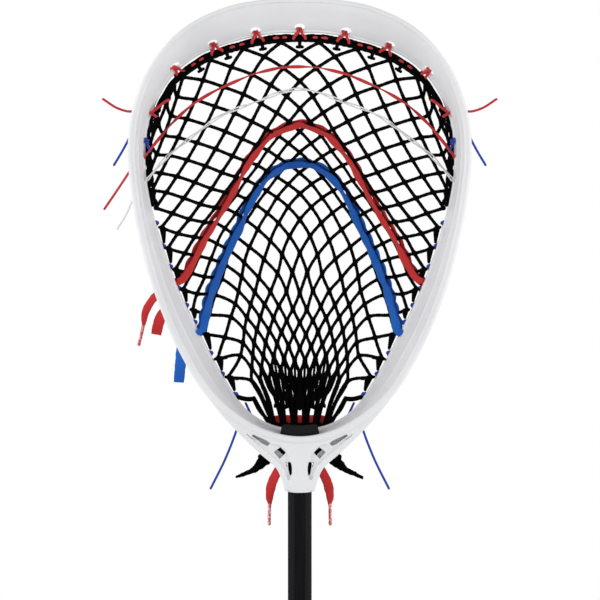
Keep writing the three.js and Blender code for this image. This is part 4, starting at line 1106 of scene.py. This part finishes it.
def hung_net():
    keys = [(c, r) for r in range(ROWS + 1) for c in range(-COLUMNS, COLUMNS + 1) if (c + r) % 2]
    index = {key: i for i, key in enumerate(keys)}
    at = np.zeros((len(keys), 3))
    held = np.zeros(len(keys), bool)
    for i, (c, r) in enumerate(keys):
        tie = tie_point(c, r)
        held[i] = tie is not None
        down = r / ROWS
        bulge = math.sin(math.pi * down) * (1 - (c / (COLUMNS + 1)) ** 2)
        narrow = 1 - 1.15 * max(0, down - 0.35)
        start = (
            c / COLUMNS * HALF_WIDTH * 0.83 * narrow,
            WALL_DEPTH * (0.6 + 1.25 * bulge),
            HEIGHT * (0.91 - 0.77 * down),
        )
        at[i] = start if tie is None else tie
    below = [((c, r), (c + side, r + 1)) for c, r in keys for side in (-1, 1)]
    a, b = np.array([(index[upper], index[lower]) for upper, lower in below if lower in index]).T
    rows = np.array([keys[i][1] for i in a]) / (ROWS - 1)
    wanted = np.interp(rows, *zip(*STRANDS))
    links = np.bincount(np.concatenate([a, b]), minlength=len(keys))
    loose = (~held).astype(float)
    shares = loose[a] + loose[b]
    live = shares > 0
    for step in range(HANGING_STEPS):
        ease = 1 if step < 0.6 * HANGING_STEPS else 0.25
        middle = np.exp(-((at[:, 0] / 17.3) ** 2)) * loose
        swell = np.exp(-(((at[:, 2] - 263) / 77) ** 2)) * middle
        at[:, 1] += ease * (0.19 * swell + 0.06 * loose)
        at[:, 2] -= ease * 0.017 * middle
        for _ in range(PULLS):
            reach = at[b] - at[a]
            now = np.sqrt((reach ** 2).sum(axis=1))
            pull = np.where((now > wanted) & live, (now - wanted) / (now * np.maximum(shares, 1)), 0)
            reach *= pull[:, None]
            move = np.zeros_like(at)
            np.add.at(move, a, reach * loose[a][:, None])
            np.add.at(move, b, -reach * loose[b][:, None])
            at += move * (1.6 / links)[:, None]
    knots = {key: at[i].copy() for key, i in index.items()}
    for c in range(1 - COLUMNS, COLUMNS, 2):
        knots[c, ROWS - 1] = (knots[c - 1, ROWS] + knots[c + 1, ROWS]) / 2
    return knots


knots = hung_net()


def net_normal(c, r):
    here = knots[c, r]

    def near(dc, dr):
        return knots.get((c + dc, r + dr), here)

    across = near(1, 1) + near(1, -1) - near(-1, 1) - near(-1, -1)
    up = near(1, -1) + near(-1, -1) - near(1, 1) - near(-1, 1)
    return unit(np.cross(up, across))


normals = {key: net_normal(*key) for key in knots}


def on_net(c, r):
    """A point of the net between knots, and the net's backward normal there."""
    a, b = (c + r + 1) / 2, (r - c + 1) / 2
    a0, b0 = math.floor(a), math.floor(b)
    point, normal, total = np.zeros(3), np.zeros(3), 0.0
    for i, j in ((0, 0), (0, 1), (1, 0), (1, 1)):
        key = (a0 + i - b0 - j, a0 + i + b0 + j - 1)
        weight = (a - a0 if i else 1 - a + a0) * (b - b0 if j else 1 - b + b0)
        if key in knots and weight > 0:
            point += knots[key] * weight
            normal += normals[key] * weight
            total += weight
    return point / total, unit(normal)


# Legs stand in pairs at the throat, with the lace showing between the pairs
LEG_PAIRS = {1: 4.8, 3: 4.8, 5: 14.4, 7: 14.4, 9: 24.0, 11: 24.0}


def leg_foot(c, step):
    near = 1 if abs(c) % 4 == 3 else -1
    x = LEG_PAIRS[abs(c)] + near * 1.2
    base = knots[c, ROWS - 1].copy()
    base[0] = math.copysign(x, c) + step * 0.5
    base[2] = throat_back[2] + 3.2 + x * x / 300
    return base


def strand_chains():
    chains = []
    for step in (1, -1):
        for c, r in knots:
            if r > GATHERED or (c - step, r - 1) in knots:
                continue
            chain = [(c, r)]
            while chain[-1][1] < GATHERED and (chain[-1][0] + step, chain[-1][1] + 1) in knots:
                chain.append((chain[-1][0] + step, chain[-1][1] + 1))
            if len(chain) > 1:
                chains.append((step, chain))
    return chains


def uneven_strand(skin, path, step, radius, ripple, rate, phase=0.0, sides=9):
    """A strand that swells and narrows a little along its length."""
    length = np.arange(len(path)) * step
    skin.strand(path, radius * (1 + ripple * np.sin(length * rate + phase)), sides=sides)


def net_strand(skin, number, way, chain):
    """One strand through its chain of knots, thicker at each knot, and on down to its leg's foot."""
    points = [knots[key] for key in chain]
    facing = [normals[key] for key in chain]
    c, r = chain[-1]
    if r == GATHERED and abs(c) < COLUMNS:
        middle = (points[-1] + knots[c, ROWS - 1]) / 2
        foot = leg_foot(c, way)
        middle[0] = 0.45 * points[-1][0] + 0.55 * foot[0]
        points += [middle + (way * 0.4, 0, 0), foot]
        facing += [facing[-1], facing[-1]]
    places = np.linspace(0, 1, 10 * (len(points) - 1) + 1)
    path, lie = evenly(catmull(points, places), NET_STEP, catmull(facing, places))
    lie = unit(lie)
    length = np.arange(len(path)) * NET_STEP
    bumps = 1 + 0.06 * np.sin(length * 2 * math.pi / 2.9 + number * 1.7)
    bumps += 0.04 * np.sin(length * 0.9 + number)
    ties = np.array([knots[key] for key in chain])
    nearest = np.sqrt(((path[:, None, :] - ties[None, :, :]) ** 2).sum(axis=2)).min(axis=1)
    legs = 1 - smooth(path[:, 2], 58, 84)
    wide = (1.62 + 0.7 * np.exp(-((nearest / 2.2) ** 2)) - 0.34 * legs) * bumps
    shift = 0.35 * way * np.cos(np.arange(len(path)) / len(path) * math.pi * len(chain))
    skin.strand(path + lie * shift[:, None], wide, wide * 0.82, lie, sides=8)


def gathered_strands(skin):
    """The loose strands above the ball stop, behind the legs and spread down to the fold."""
    for c in range(-5, 6, 2):
        foot = leg_foot(c, 0) + (0, 2.0, 0)
        middle = (knots[c, 26] + foot) / 2 + (0.5, 1.5, 0)
        points = [knots[c, 24], (knots[c - 1, 25] + knots[c + 1, 25]) / 2, knots[c, 26], middle, foot]
        path = curve_through(points, NET_STEP, 60) + (0, 1.0, 0)
        uneven_strand(skin, path, NET_STEP, 1.25, 0.09, 2.3, c, 8)
    for c in range(-8, 9, 2):
        top = knots[c, 25]
        low = np.array([c * 2.4, 43.5, 71.5 + abs(c) * 0.3])
        for way in (-1, 0, 1) if c == 0 else (-1, 1):
            points = [
                top,
                0.45 * top + 0.55 * low + (way * 1.5, 1.5, 0),
                low + (way * 1.9, 2.0, 5.0),
                low + (way * 3.2, 1.0, -1.0),
            ]
            uneven_strand(skin, curve_through(points, NET_STEP, 50), NET_STEP, 1.4, 0.1, 2.1, c + way, 8)


def net_knots(skin):
    for (c, r), at in knots.items():
        if r == 0 or r > GATHERED or abs(c) == COLUMNS:
            continue
        normal = normals[c, r]
        right = unit(np.array([1.0, 0, 0]) - normal * normal[0])
        size = 1.9 if at[2] > 120 else 1.6
        skin.ball(metres(at), (size * MM, size * MM, 1.3 * MM), (right, np.cross(right, normal), normal))


def rail_path(u_from, u_to, past):
    """A line inside the back rim, past mm from it, and the ring's inward direction along it."""
    place = Stations(np.linspace(u_from, u_to, 160))
    path, lie = evenly(place.back + place.back_in * past, EDGE_STEP, place.back_in)
    return path, unit(lie)


def rail_foot(z, way):
    """The place at a rail's inner edge where a thick end of the net is tied."""
    place = Stations(place_at_height(z))
    return (place.back_centre + place.back_in * (BACK_BEAD + 1.9))[0] * (way, 1, 1)


def top_band(skin):
    """The net's upper edge, and two thick strands side by side over it along the scoop."""
    low = [knots[-12, 1]] + [knots[c, 0] for c in range(-11, 12, 2)] + [knots[12, 1]]
    path = curve_through(low, EDGE_STEP, 400) + (0, 0, 1.0)
    length = np.arange(len(path)) * EDGE_STEP
    wide = 1.75 * (1 + 0.08 * np.sin(length * 2 * math.pi / 5.1) + 0.06 * np.sin(length * 1.3))
    skin.strand(path, wide, 1.2, (0.0, 1.0, 0.25), sides=10)
    u_side = place_at_height(SIDE_TIES[0] * HEIGHT)
    count = 500
    place = Stations(np.linspace(u_side, other_side(u_side), count))
    for past, deeper, radius in ((2.2, 0.0, 1.85), (4.3, 0.9, 1.7)):
        edge = past + 0.25 * np.sin(np.arange(count) * 0.21 + past)
        line = place.back + place.back_in * edge[:, None] + (0, deeper, 0)
        path, lie = evenly(line, EDGE_STEP, place.inner)
        length = np.arange(len(path)) * EDGE_STEP
        wide = radius * (1 + 0.09 * np.sin(length * 2 * math.pi / 4.3) + 0.06 * np.sin(length * 1.7))
        skin.strand(path, wide, 1.25, unit(lie), sides=10)


def side_edges(skin):
    """Along each rail: the net's doubled edge above, and below it the thick ends that reach the knots."""
    top = place_at_height(SIDE_TIES[0] * HEIGHT)
    low = place_at_height(0.585 * HEIGHT)
    for way in (1, -1):
        for past, radius, phase in ((1.5, 1.75, 0.0), (4.4, 1.6, 2.0)):
            path, lie = rail_path(top, low, past)
            length = np.arange(len(path)) * EDGE_STEP
            path = path + lie * (0.5 * np.sin(length * 0.5 + phase))[:, None]
            wave = 0.16 * np.sin(length * 2 * math.pi / 9.5 + phase)
            wide = radius * (1 + wave + 0.08 * np.sin(length * 1.9))
            skin.strand(path * (way, 1, 1), wide, sides=10)
        for k in range(5, 13):
            tie = knots[way * 12, 2 * k + 1]
            corner = tie + (knots[way * 11, 2 * k + 2] - tie) * 0.4
            foot = rail_foot(KNOT_HOLES[k - 2] * HEIGHT + 3.4, way)
            knee = tie + (corner - tie) * 0.4
            for points, thick in (
                ([tie + (tie - corner) * 0.25, tie, corner], (1.5, 1.7, 1.4)),
                ([knee, (knee + foot) / 2, foot], (2.3, 2.0, 1.5)),
                ([tie, (tie + foot) / 2, foot], (1.7, 1.5, 1.2)),
            ):
                path = curve_through(points, TIE_STEP, 20)
                radius = np.interp(np.linspace(0, 1, len(path)), [0, 0.5, 1], thick)
                uneven_strand(skin, path, TIE_STEP, radius, 0.07, 2.7)


def top_stubs(skin):
    """Cut ends of the net that hang from the band, each with a small cross piece."""
    for share in (0.0, 0.227, 0.441, 0.619):
        place = Stations(place_at_width(share * HALF_WIDTH))
        for way in ((1, -1) if share else (1,)):
            start = (place.back + place.back_in * 7.0)[0] * (way, 1, 1)
            down = (place.back_in * 4.6)[0] * (way, 1, 1) + (0, 1.0, 0)
            end = start + down
            skin.strand([start, start + down * 0.5, end], 1.7, sides=9)
            side = unit(np.cross(down, (0, 1, 0))) * 2.4
            skin.strand([end - side, end, end + side], 1.45, sides=9)


def corner_strands(skin):
    """The net's two lower corners, run down behind the throat beside the legs."""
    for way in (1, -1):
        upper, lower = knots[way * 12, 27], knots[way * 12, 29]
        for shift in (-1.5, 1.5):
            points = [
                upper + (0, 0, shift * 0.6),
                (upper + lower) / 2 + (way * 1.5, 0, shift * 0.8),
                lower + (way * shift * 0.5, 0, -2.0),
            ]
            uneven_strand(skin, curve_through(points, TIE_STEP, 30), TIE_STEP, 1.75, 0.08, 2.5)
        start = rail_foot(KNOT_HOLES[-1] * HEIGHT, way) + (way * -1.5, 0, -3.2)
        middle = (start + upper) / 2 + (0, 0, -0.9)
        skin.strand(curve_through([start, middle, upper], TIE_STEP, 20), 2.2, sides=9)


# Depth, height and half width of the bundle, row by row
FOLD = [(38.5, 57, 24), (40.5, 52, 24.5), (35, 44.5, 26), (25.5, 38.5, 27), (20, 31, 26), (19, 24.5, 18)]


def throat_fold(skin):
    """The net's lower edge, folded down in a bundle behind the throat."""
    count = 50
    steps = np.arange(count)
    places = np.linspace(0, 1, count)
    line = catmull([(0, y, z) for y, z, _ in FOLD], places)
    half = np.interp(places, np.linspace(0, 1, len(FOLD)), [row[2] for row in FOLD])
    right = np.array([1.0, 0.0, 0.0])
    out = np.cross(unit(np.gradient(line, axis=0)), right)
    core = half * 0.93 * (1 + 0.03 * np.sin(steps * 0.9))
    skin.strand(line, core, 1.5, (0.0, -0.6, 0.8), sides=24)
    for number in range(22):
        sway = (number - 10.5) / 10.5 + 0.05 * np.sin(steps * 0.35 + number * 1.9)
        ripple = 1.4 + 0.5 * np.sin(steps * 0.5 + number * 2.3)
        stop = count - (number * 7) % 9
        for way in (1, -1):
            path = line + right * (half * sway)[:, None] + out * (way * ripple)[:, None]
            skin.strand(path[:stop], 1.3, sides=7)


def knotted_net():
    skin = Skin()
    for number, (way, chain) in enumerate(strand_chains()):
        net_strand(skin, number, way, chain)
    for add in (gathered_strands, net_knots, top_band, side_edges, top_stubs, corner_strands, throat_fold):
        add(skin)
    return finish_piece(skin.object("knotted_net", net_yarn), "mesh_pocket")


knotted_net()


# Strings along the ring

LASHING_RADIUS = 1.25
STRING_RADIUS = 1.1
STRING_STEP = 0.9
CLEAR = 0.15
END_LOOP = [(-116.5, 27.0, 349.2), (-119.2, 18.2, 347.0), (-126.2, 17.5, 341.5), (-132.0, 18.5, 336.8)]
END_HOOK = [(-133.8, 20.5, 336.4), (-132.4, 18.8, 335.3), (-129.8, 18.8, 333.9), (-128.4, 24.0, 333.0)]
KNOT_TURN = [(2.6, 1.3), (0.9, 0.4), (-0.9, 0.4), (-2.6, 1.3)]  # height and angle behind the rail


def along_rim(u, mm):
    """The place mm further round the back rim."""
    step = 1e-4
    ends = catmull(back_rim, np.array([u - step, u + step]), True)
    return u + mm * 2 * step / np.linalg.norm(ends[1] - ends[0])


def behind_rail(u, radius):
    """From a rail's inner edge, round its back, to a string hole from the outside."""
    place = Stations(u)
    clear = BACK_BEAD * place.slim[0] + radius + CLEAR
    wall = WALL_HALF + radius + CLEAR
    turns = [
        (clear * 0.75, clear * 0.72),
        (clear, 0.0),
        (clear * 0.6, -clear * 0.85),
        (-TIE_INSET * 0.3, -clear),
        (-TIE_INSET * 0.8, -wall),
        (-TIE_INSET, -0.4),
    ]
    return [place.beside(past, off)[0] for past, off in turns]


def top_string():
    """A lashing along the scoop that loops up through each hole in an inverted V."""
    radius = LASHING_RADIUS
    end = place_at_height(PASSAGES[0] * HEIGHT)
    face = WALL_HALF + radius + CLEAR

    def weave(start, finish, count):
        out = []
        for i in range(count):
            back = -0.3 if i % 2 else 4.6
            for nudge in (-0.3, 0.3):
                place = Stations(start + (finish - start) * ((i + 0.5) / count + nudge / count))
                out.append((place.back + place.back_in * 3.4)[0] + (0, back, 0))
        return out

    loop = np.array(END_LOOP)
    points = behind_rail(end, radius)[::-1] + list(loop[::-1] * (-1, 1, 1))
    last = along_rim(end, 26)
    for number, u in enumerate(scoop_holes()):
        rail = BACK_BEAD * Stations(u).slim[0]
        edge = rail + radius + CLEAR
        # along the rim from the hole, past the bead and off towards the inside
        turns = [
            (-6.0, rail + 4.4, 4.6), (-4.4, rail - 0.4, 4.6), (-2.9, 0.5 * rail, edge), (-1.9, -0.3, face),
            (-1.3, -1.3, 0.3), (-0.6, -0.8, -face), (0, 0.6, -edge), (1.8, rail + 3.0, -2.4),
            (6.0, rail + 4.6, 4.6), (4.6, rail - 0.4, 4.6), (3.1, 0.5 * rail, edge), (2.0, -0.3, face),
            (1.4, -1.3, 0.3), (1.5, -0.8, -face), (2.8, 0.6, -edge), (5.6, rail + 4.4, 2.4),
        ]
        points += weave(last, along_rim(u, -8.5), 1 if number == 0 else 5)
        points += [Stations(along_rim(u, mm)).beside(past, off)[0] for mm, past, off in turns]
        last = along_rim(u, 8.5)
    finish = other_side(end)
    points += weave(last, along_rim(finish, -26), 1)
    points += list(loop) + behind_rail(finish, radius)
    skin = Skin()
    skin.strand(curve_through(points, STRING_STEP), radius, sides=10)
    for way in (1, -1):
        skin.strand(curve_through(np.array(END_HOOK) * (-way, 1, 1), STRING_STEP), radius, sides=10)
    return finish_piece(skin.object("scoop_lashing", red_yarn), "top_string")


def side_string(name, way):
    """A string behind a side wall's rail, with a coiled knot at every hole."""
    radius = STRING_RADIUS
    lean = BACK_BEAD + radius + 0.2

    def behind(z, angle, lean=lean):
        place = Stations(place_at_height(z))
        point = place.back_centre[0] + place.back_in[0] * lean * math.cos(angle)
        return point + (0, lean * math.sin(angle), 0)

    def frame_at(z, angle, lean):
        """Down the rail there, and the two directions square to it."""
        axis = unit(behind(z - 3, angle, lean) - behind(z + 3, angle, lean))
        side = unit(np.cross(axis, (0, 1, 0)))
        return axis, side, np.cross(axis, side)

    points = behind_rail(place_at_height(PASSAGES[1] * HEIGHT), radius)[:0:-1]
    z = KNOT_HOLES[0] * HEIGHT
    centre = lean + 0.6
    _, side, depth = frame_at(z, -0.75, centre)
    points.append(behind(z + 3.9, 1.0))
    for k in range(13):
        turn = 2 * math.pi * 1.75 * k / 12
        middle = behind(z + 2.4 - 4.6 * k / 12, -0.75, centre)
        points.append(middle + 1.35 * (side * math.cos(turn) + depth * math.sin(turn)))
    points += [behind(z - 6.5, -0.55, lean + 3.0), behind(z - 9.5, 0.1, lean + 2.6), behind(z - 14.0, 1.3)]
    skin = Skin()
    turn = np.linspace(0, 9.4, 20)[:, None]
    for i, share in enumerate(KNOT_HOLES[1:]):
        above, z = z, share * HEIGHT
        for part in (0.25, 0.5, 0.75) if i else (0.45, 0.7):
            points.append(behind(above + (z - above) * part, 1.4))
        points += [behind(z + up, angle) for up, angle in KNOT_TURN]
        axis, side, depth = frame_at(z, 0.12, lean)
        coil = behind(z, 0.12, BACK_BEAD + 1.2) + (side * np.cos(turn) + depth * np.sin(turn)) * 0.75
        coil = coil + axis * np.linspace(-0.9, 0.9, 20)[:, None]
        skin.strand(coil * (way, 1, 1), (1.7 if share > 0.2 else 2.1) - 0.75, sides=8)
    points.append(behind(0.178 * HEIGHT, 1.75))
    points += behind_rail(place_at_height(PASSAGES[6] * HEIGHT), radius)[2:]
    skin.strand(curve_through(points, STRING_STEP) * (way, 1, 1), radius, sides=10)
    return finish_piece(skin.object(name + "_braid", blue_yarn), name)


top_string()
side_string("sidewall_string_right", 1)
side_string("sidewall_string_left", -1)


# Strings and laces across the net, as columns and rows of its lattice on the left half

RED_STRING = [
    (-11.07, 2.96), (-9.3, 2.68), (-7.77, 2.34), (-6.51, 2.1), (-5.35, 1.97), (-4.22, 1.95), (-3.14, 1.93),
    (-2.08, 1.89), (-1.02, 1.86), (0, 1.84),
]
WHITE_STRING = [
    (-11.18, 5.23), (-9.57, 4.86), (-7.98, 4.36), (-6.5, 3.89), (-5.4, 3.74), (-3.74, 3.73), (-2.41, 3.66),
    (-1.11, 3.53), (0, 3.46),
]
RED_LACE = [
    (-10.86, 15.17), (-9.57, 14.02), (-8.26, 12.74), (-7.17, 11.35), (-5.99, 9.6), (-4.92, 8.16),
    (-4.14, 7.5), (-3.26, 6.88), (-2.5, 6.64), (-1.76, 6.46), (-0.89, 6.35), (0, 6.28),
]
BLUE_LACE = [
    (-11.24, 19.53), (-10.08, 18.46), (-8.77, 17.17), (-7.19, 15.85), (-5.82, 14.45), (-5.01, 12.92),
    (-4.23, 11.75), (-3.26, 10.72), (-2.28, 10.26), (-1.11, 10.08), (0, 9.96),
]


RED_STRING_END = [(-134.1, 24.6, 303.3), (-137.9, 25.6, 298.2)]
WHITE_STRING_END = [(-132.4, 25.8, 281.9), (-136.6, 26.9, 276.9)]
RED_LACE_END = [(-99.9, 38.5, 195.1), (-104.9, 35.5, 188.3), (-109.0, 33.5, 185.4)]
BLUE_LACE_END = [(-85.6, 35.5, 149.8), (-87.4, 34.0, 142.4), (-91.0, 32.5, 138.4)]


def across_net(half, lift, hole_share, turn_share, end=()):
    """Points and facing of a line that crosses the net's front and goes behind both rails."""
    route = half + [(-c, r) for c, r in half[-2::-1]]
    flat = np.array([(c, r, 0.0) for c, r in route])
    places = [on_net(c, r) for c, r, _ in catmull(flat, np.linspace(0, 1, 12 * (len(route) - 1) + 1))]
    line = [(point - normal * lift, -normal) for point, normal in places]
    hole = place_at_height(hole_share * HEIGHT)
    turn = place_at_height(turn_share * HEIGHT)
    before, after = [], []
    sides = ((other_side(hole), other_side(turn), -1, before), (hole, turn, 1, after))
    for u_hole, u_turn, way, ends in sides:
        place = Stations(u_turn)
        clear = BACK_BEAD * place.slim[0] + lift * 0.6
        for x, y, z in end:
            ends.append((np.array([-x * way, y, z]), unit((-0.25 * way, -1.0, 0.0))))
        if not end:
            ends.append((place.beside(clear * 0.8, clear * 0.65)[0], place.inner[0]))
        ends.append((place.beside(clear * 1.15, -clear * 0.1)[0], place.across[0]))
        place = Stations(u_hole)
        ends.append((place.beside(clear * 0.2, -clear)[0], -place.inner[0]))
        ends.append((place.beside(-TIE_INSET * 0.8, -clear * 0.9)[0], -place.inner[0]))
    points, facing = zip(*before[::-1], *line, *after)
    places = np.linspace(0, 1, 6 * (len(points) - 1) + 1)
    path, lie = evenly(catmull(points, places), STRING_STEP, catmull(facing, places))
    return path, unit(lie)


def from_middle(path):
    """Lengths along a path, from its middle."""
    length = np.arange(len(path)) * STRING_STEP
    return length - length[-1] / 2


def twisted_string(node, half, hole_share, end, material, wide, turn_length, plies=False):
    """A nylon string that twists as it crosses the net: flat, or in two plies."""
    path, facing = across_net(half, 2.3, hole_share, hole_share, end)
    middle = from_middle(path)
    angle = 0.9 * np.sin(middle * 2 * math.pi / turn_length) + 0.35 * np.sin(middle * 0.11)
    normals = tilted(path, facing, angle)
    skin = Skin()
    if plies:
        across = np.cross(unit(np.gradient(path, axis=0)), normals)
        for ply in (-1, 1):
            skin.strand(path + across * ply * 0.72 * wide, 0.44 * wide, sides=8)
    else:
        skin.strand(path, wide, 0.6, normals, sides=12, square=0.8)
    return finish_piece(skin.object(node + "_twist", material), node)


def woven_lace(node, half, hole_share, turn_share, end, material, wide, dips):
    """A hollow lace laid over the net, with a second fold that shows behind its upper edge."""
    skin = Skin()
    path, facing = across_net(half, 2.6, hole_share, turn_share, end)
    middle = from_middle(path)
    angle = 0.22 * np.sin(middle * 2 * math.pi / 43) + 0.12 * np.sin(middle * 0.31)
    swell = 1 + 0.09 * np.sin(middle * 2 * math.pi / 31 + 0.6) + 0.04 * np.sin(middle * 0.47)
    under = sum(np.exp(-(((path[:, 0] - x) / 4.2) ** 2)) for x in dips)
    lowered = path - facing * (1.5 * under)[:, None]
    normals = tilted(lowered, facing, angle)
    skin.strand(lowered, wide * swell, 0.85, normals, sides=14, square=0.75, flat_uv=True)
    upper = np.cross(unit(np.gradient(path, axis=0)), facing)
    upper *= np.where(upper[:, 2:] < 0, -1, 1)
    end_count = 14
    inside = np.abs(path[:, 1] - 40) < 60
    inside[:end_count + 1] = inside[-end_count:] = False
    wave = 0.5 + 0.5 * np.sin(middle * 2 * math.pi / 15.5)
    back = path + upper * (wide * (0.12 + 0.5 * wave))[:, None] - facing * (3.9 + 0.3 * wave)[:, None]
    lean = tilted(back, facing, 0.05 + 0.15 * wave)[inside]
    skin.strand(back[inside], wide * 1.02, 0.7, lean, sides=10, square=0.8, flat_uv=True)
    return finish_piece(skin.object(node + "_weave", material), node)


twisted_string(
    "shooting_string_red", RED_STRING[1:], PASSAGES[2], RED_STRING_END, red_yarn, 1.55, 62
)
twisted_string(
    "shooting_string_white", WHITE_STRING, PASSAGES[3], WHITE_STRING_END,
    white_yarn, 1.5, 55, plies=True,
)
woven_lace(
    "shooting_lace_red", RED_LACE[1:], PASSAGES[4], 0.425, RED_LACE_END, red_lace, 3.4, (-24, 0, 24)
)
woven_lace(
    "shooting_lace_blue", BLUE_LACE[1:], PASSAGES[5], 0.319, BLUE_LACE_END,
    blue_lace, 3.8, (-12, 12),
)


def bottom_lace():
    """The lace that ties the net to the throat: flat behind the net's legs, then down to its two holes."""
    half = [
        (14, 18.5, 27), (16, 29, 37), (19, 42, 46), (22.5, 45.2, 53),
        (24.5, 44.6, 59.5), (19.5, 43.8, 61.2), (7, 43.4, 61.4),
    ]
    path = curve_through([(-x, y, z) for x, y, z in half] + half[::-1], STRING_STEP)
    flat = smooth(path[:, 2], 52, 60)
    skin = Skin()
    facing = (0.0, -1.0, 0.12)
    skin.strand(path, 2.1 + 2.0 * flat, 1.5 - 0.6 * flat, facing, sides=12, square=0.8, flat_uv=True)
    return finish_piece(skin.object("throat_lace", red_lace), "bottom_lace")


bottom_lace()


# Flat ends, corners of the net and short ends, with half widths in millimetres at shares of the length

BOTTOM_WIDTHS = [(0, 2.5), (0.3, 4.2), (0.65, 4.4), (0.88, 3.2), (1, 1.6)]
RED_TAIL_WIDTHS = [(0, 2.6), (0.35, 3.6), (0.75, 3.6), (0.92, 2.5), (1, 1.6)]
CUT_WIDTHS = [(0, 2.8), (0.35, 5.2), (1, 4.8)]

for (side, tail), (_, tip), (_, corner), (_, inner) in zip(
    both_sides(BOTTOM_TAIL), both_sides(BOTTOM_AGLET), both_sides(MESH_TAIL), both_sides(INNER_TAIL)
):
    flat_tail(f"bottom_lace_tail_{side}", tail, BOTTOM_WIDTHS, red_lace)
    aglet(f"bottom_lace_aglet_{side}", tip)
    gathered_corner(f"mesh_tail_{side}", corner)
    end, node = f"inner_string_end_{side}", f"inner_string_tail_{side}"
    round_piece(end, curve_through(inner, 0.0008), TAIL_RADIUS, blue_yarn, node)
red_end = flat_tail("shooting_lace_red_tail", RED_LACE_TAIL, RED_TAIL_WIDTHS, red_lace)
red_end_aglet = aglet("shooting_lace_red_aglet", RED_AGLET)
flat_tail("shooting_lace_red_cut_tail", RED_CUT_TAIL, CUT_WIDTHS, red_lace, cut=True)
flat_tail("shooting_lace_blue_cut_tail", BLUE_CUT_TAIL, CUT_WIDTHS, blue_lace, cut=True)


# Floor, backdrop and light

def stage():
    floor_material, tree, shader = start_material("pale_floor", (0.8, 0.8, 0.8), 0.9, specular=0.1)
    toned(tree, shader, (1.0, 1.0, 1.0), noise(tree, 1.2, 2.0), (0.79, 0.82), (0.3, 0.7))
    floor = plain_mesh("floor", [(-6, -6, 0), (6, -6, 0), (6, 6, 0), (-6, 6, 0)], [(0, 1, 2, 3)])
    floor.data.materials.append(floor_material)

    world = bpy.data.worlds.new("studio")
    world.use_nodes = True
    scene.world = world
    tree = world.node_tree
    tree.nodes.clear()
    rays = put(tree, "ShaderNodeLightPath")
    seen = maths(tree, "MAXIMUM", rays.outputs["Is Camera Ray"], rays.outputs["Is Transmission Ray"])
    seen = maths(tree, "MAXIMUM", seen, rays.outputs["Is Glossy Ray"])
    soft = put(tree, "ShaderNodeBackground", None, Color=(0.95, 0.97, 1.0, 1), Strength=0.58)
    white = put(tree, "ShaderNodeBackground", None, Color=(1, 1, 1, 1), Strength=1.0)
    mix = put(tree, "ShaderNodeMixShader", None, n0=seen, n1=soft.outputs[0], n2=white.outputs[0])
    output = put(tree, "ShaderNodeOutputWorld")
    tree.links.new(mix.outputs[0], output.inputs[0])

    for name, place, size, power in (
        ("key", (-2.4, -0.9, 1.5), 1.6, 32),
        ("fill", (2.4, -0.9, 1.2), 1.6, 31),
        ("low", (0.0, -1.5, 0.25), 0.8, 0.6),
    ):
        lamp = bpy.data.lights.new(name, "AREA")
        lamp.size = size
        lamp.energy = power
        obj = bpy.data.objects.new(name, lamp)
        obj.location = place
        aim = Vector((0, 0, 1.2)) - Vector(place)
        obj.rotation_euler = aim.to_track_quat("-Z", "Y").to_euler()
        scene.collection.objects.link(obj)
    scene.view_settings.view_transform = "Standard"


stage()
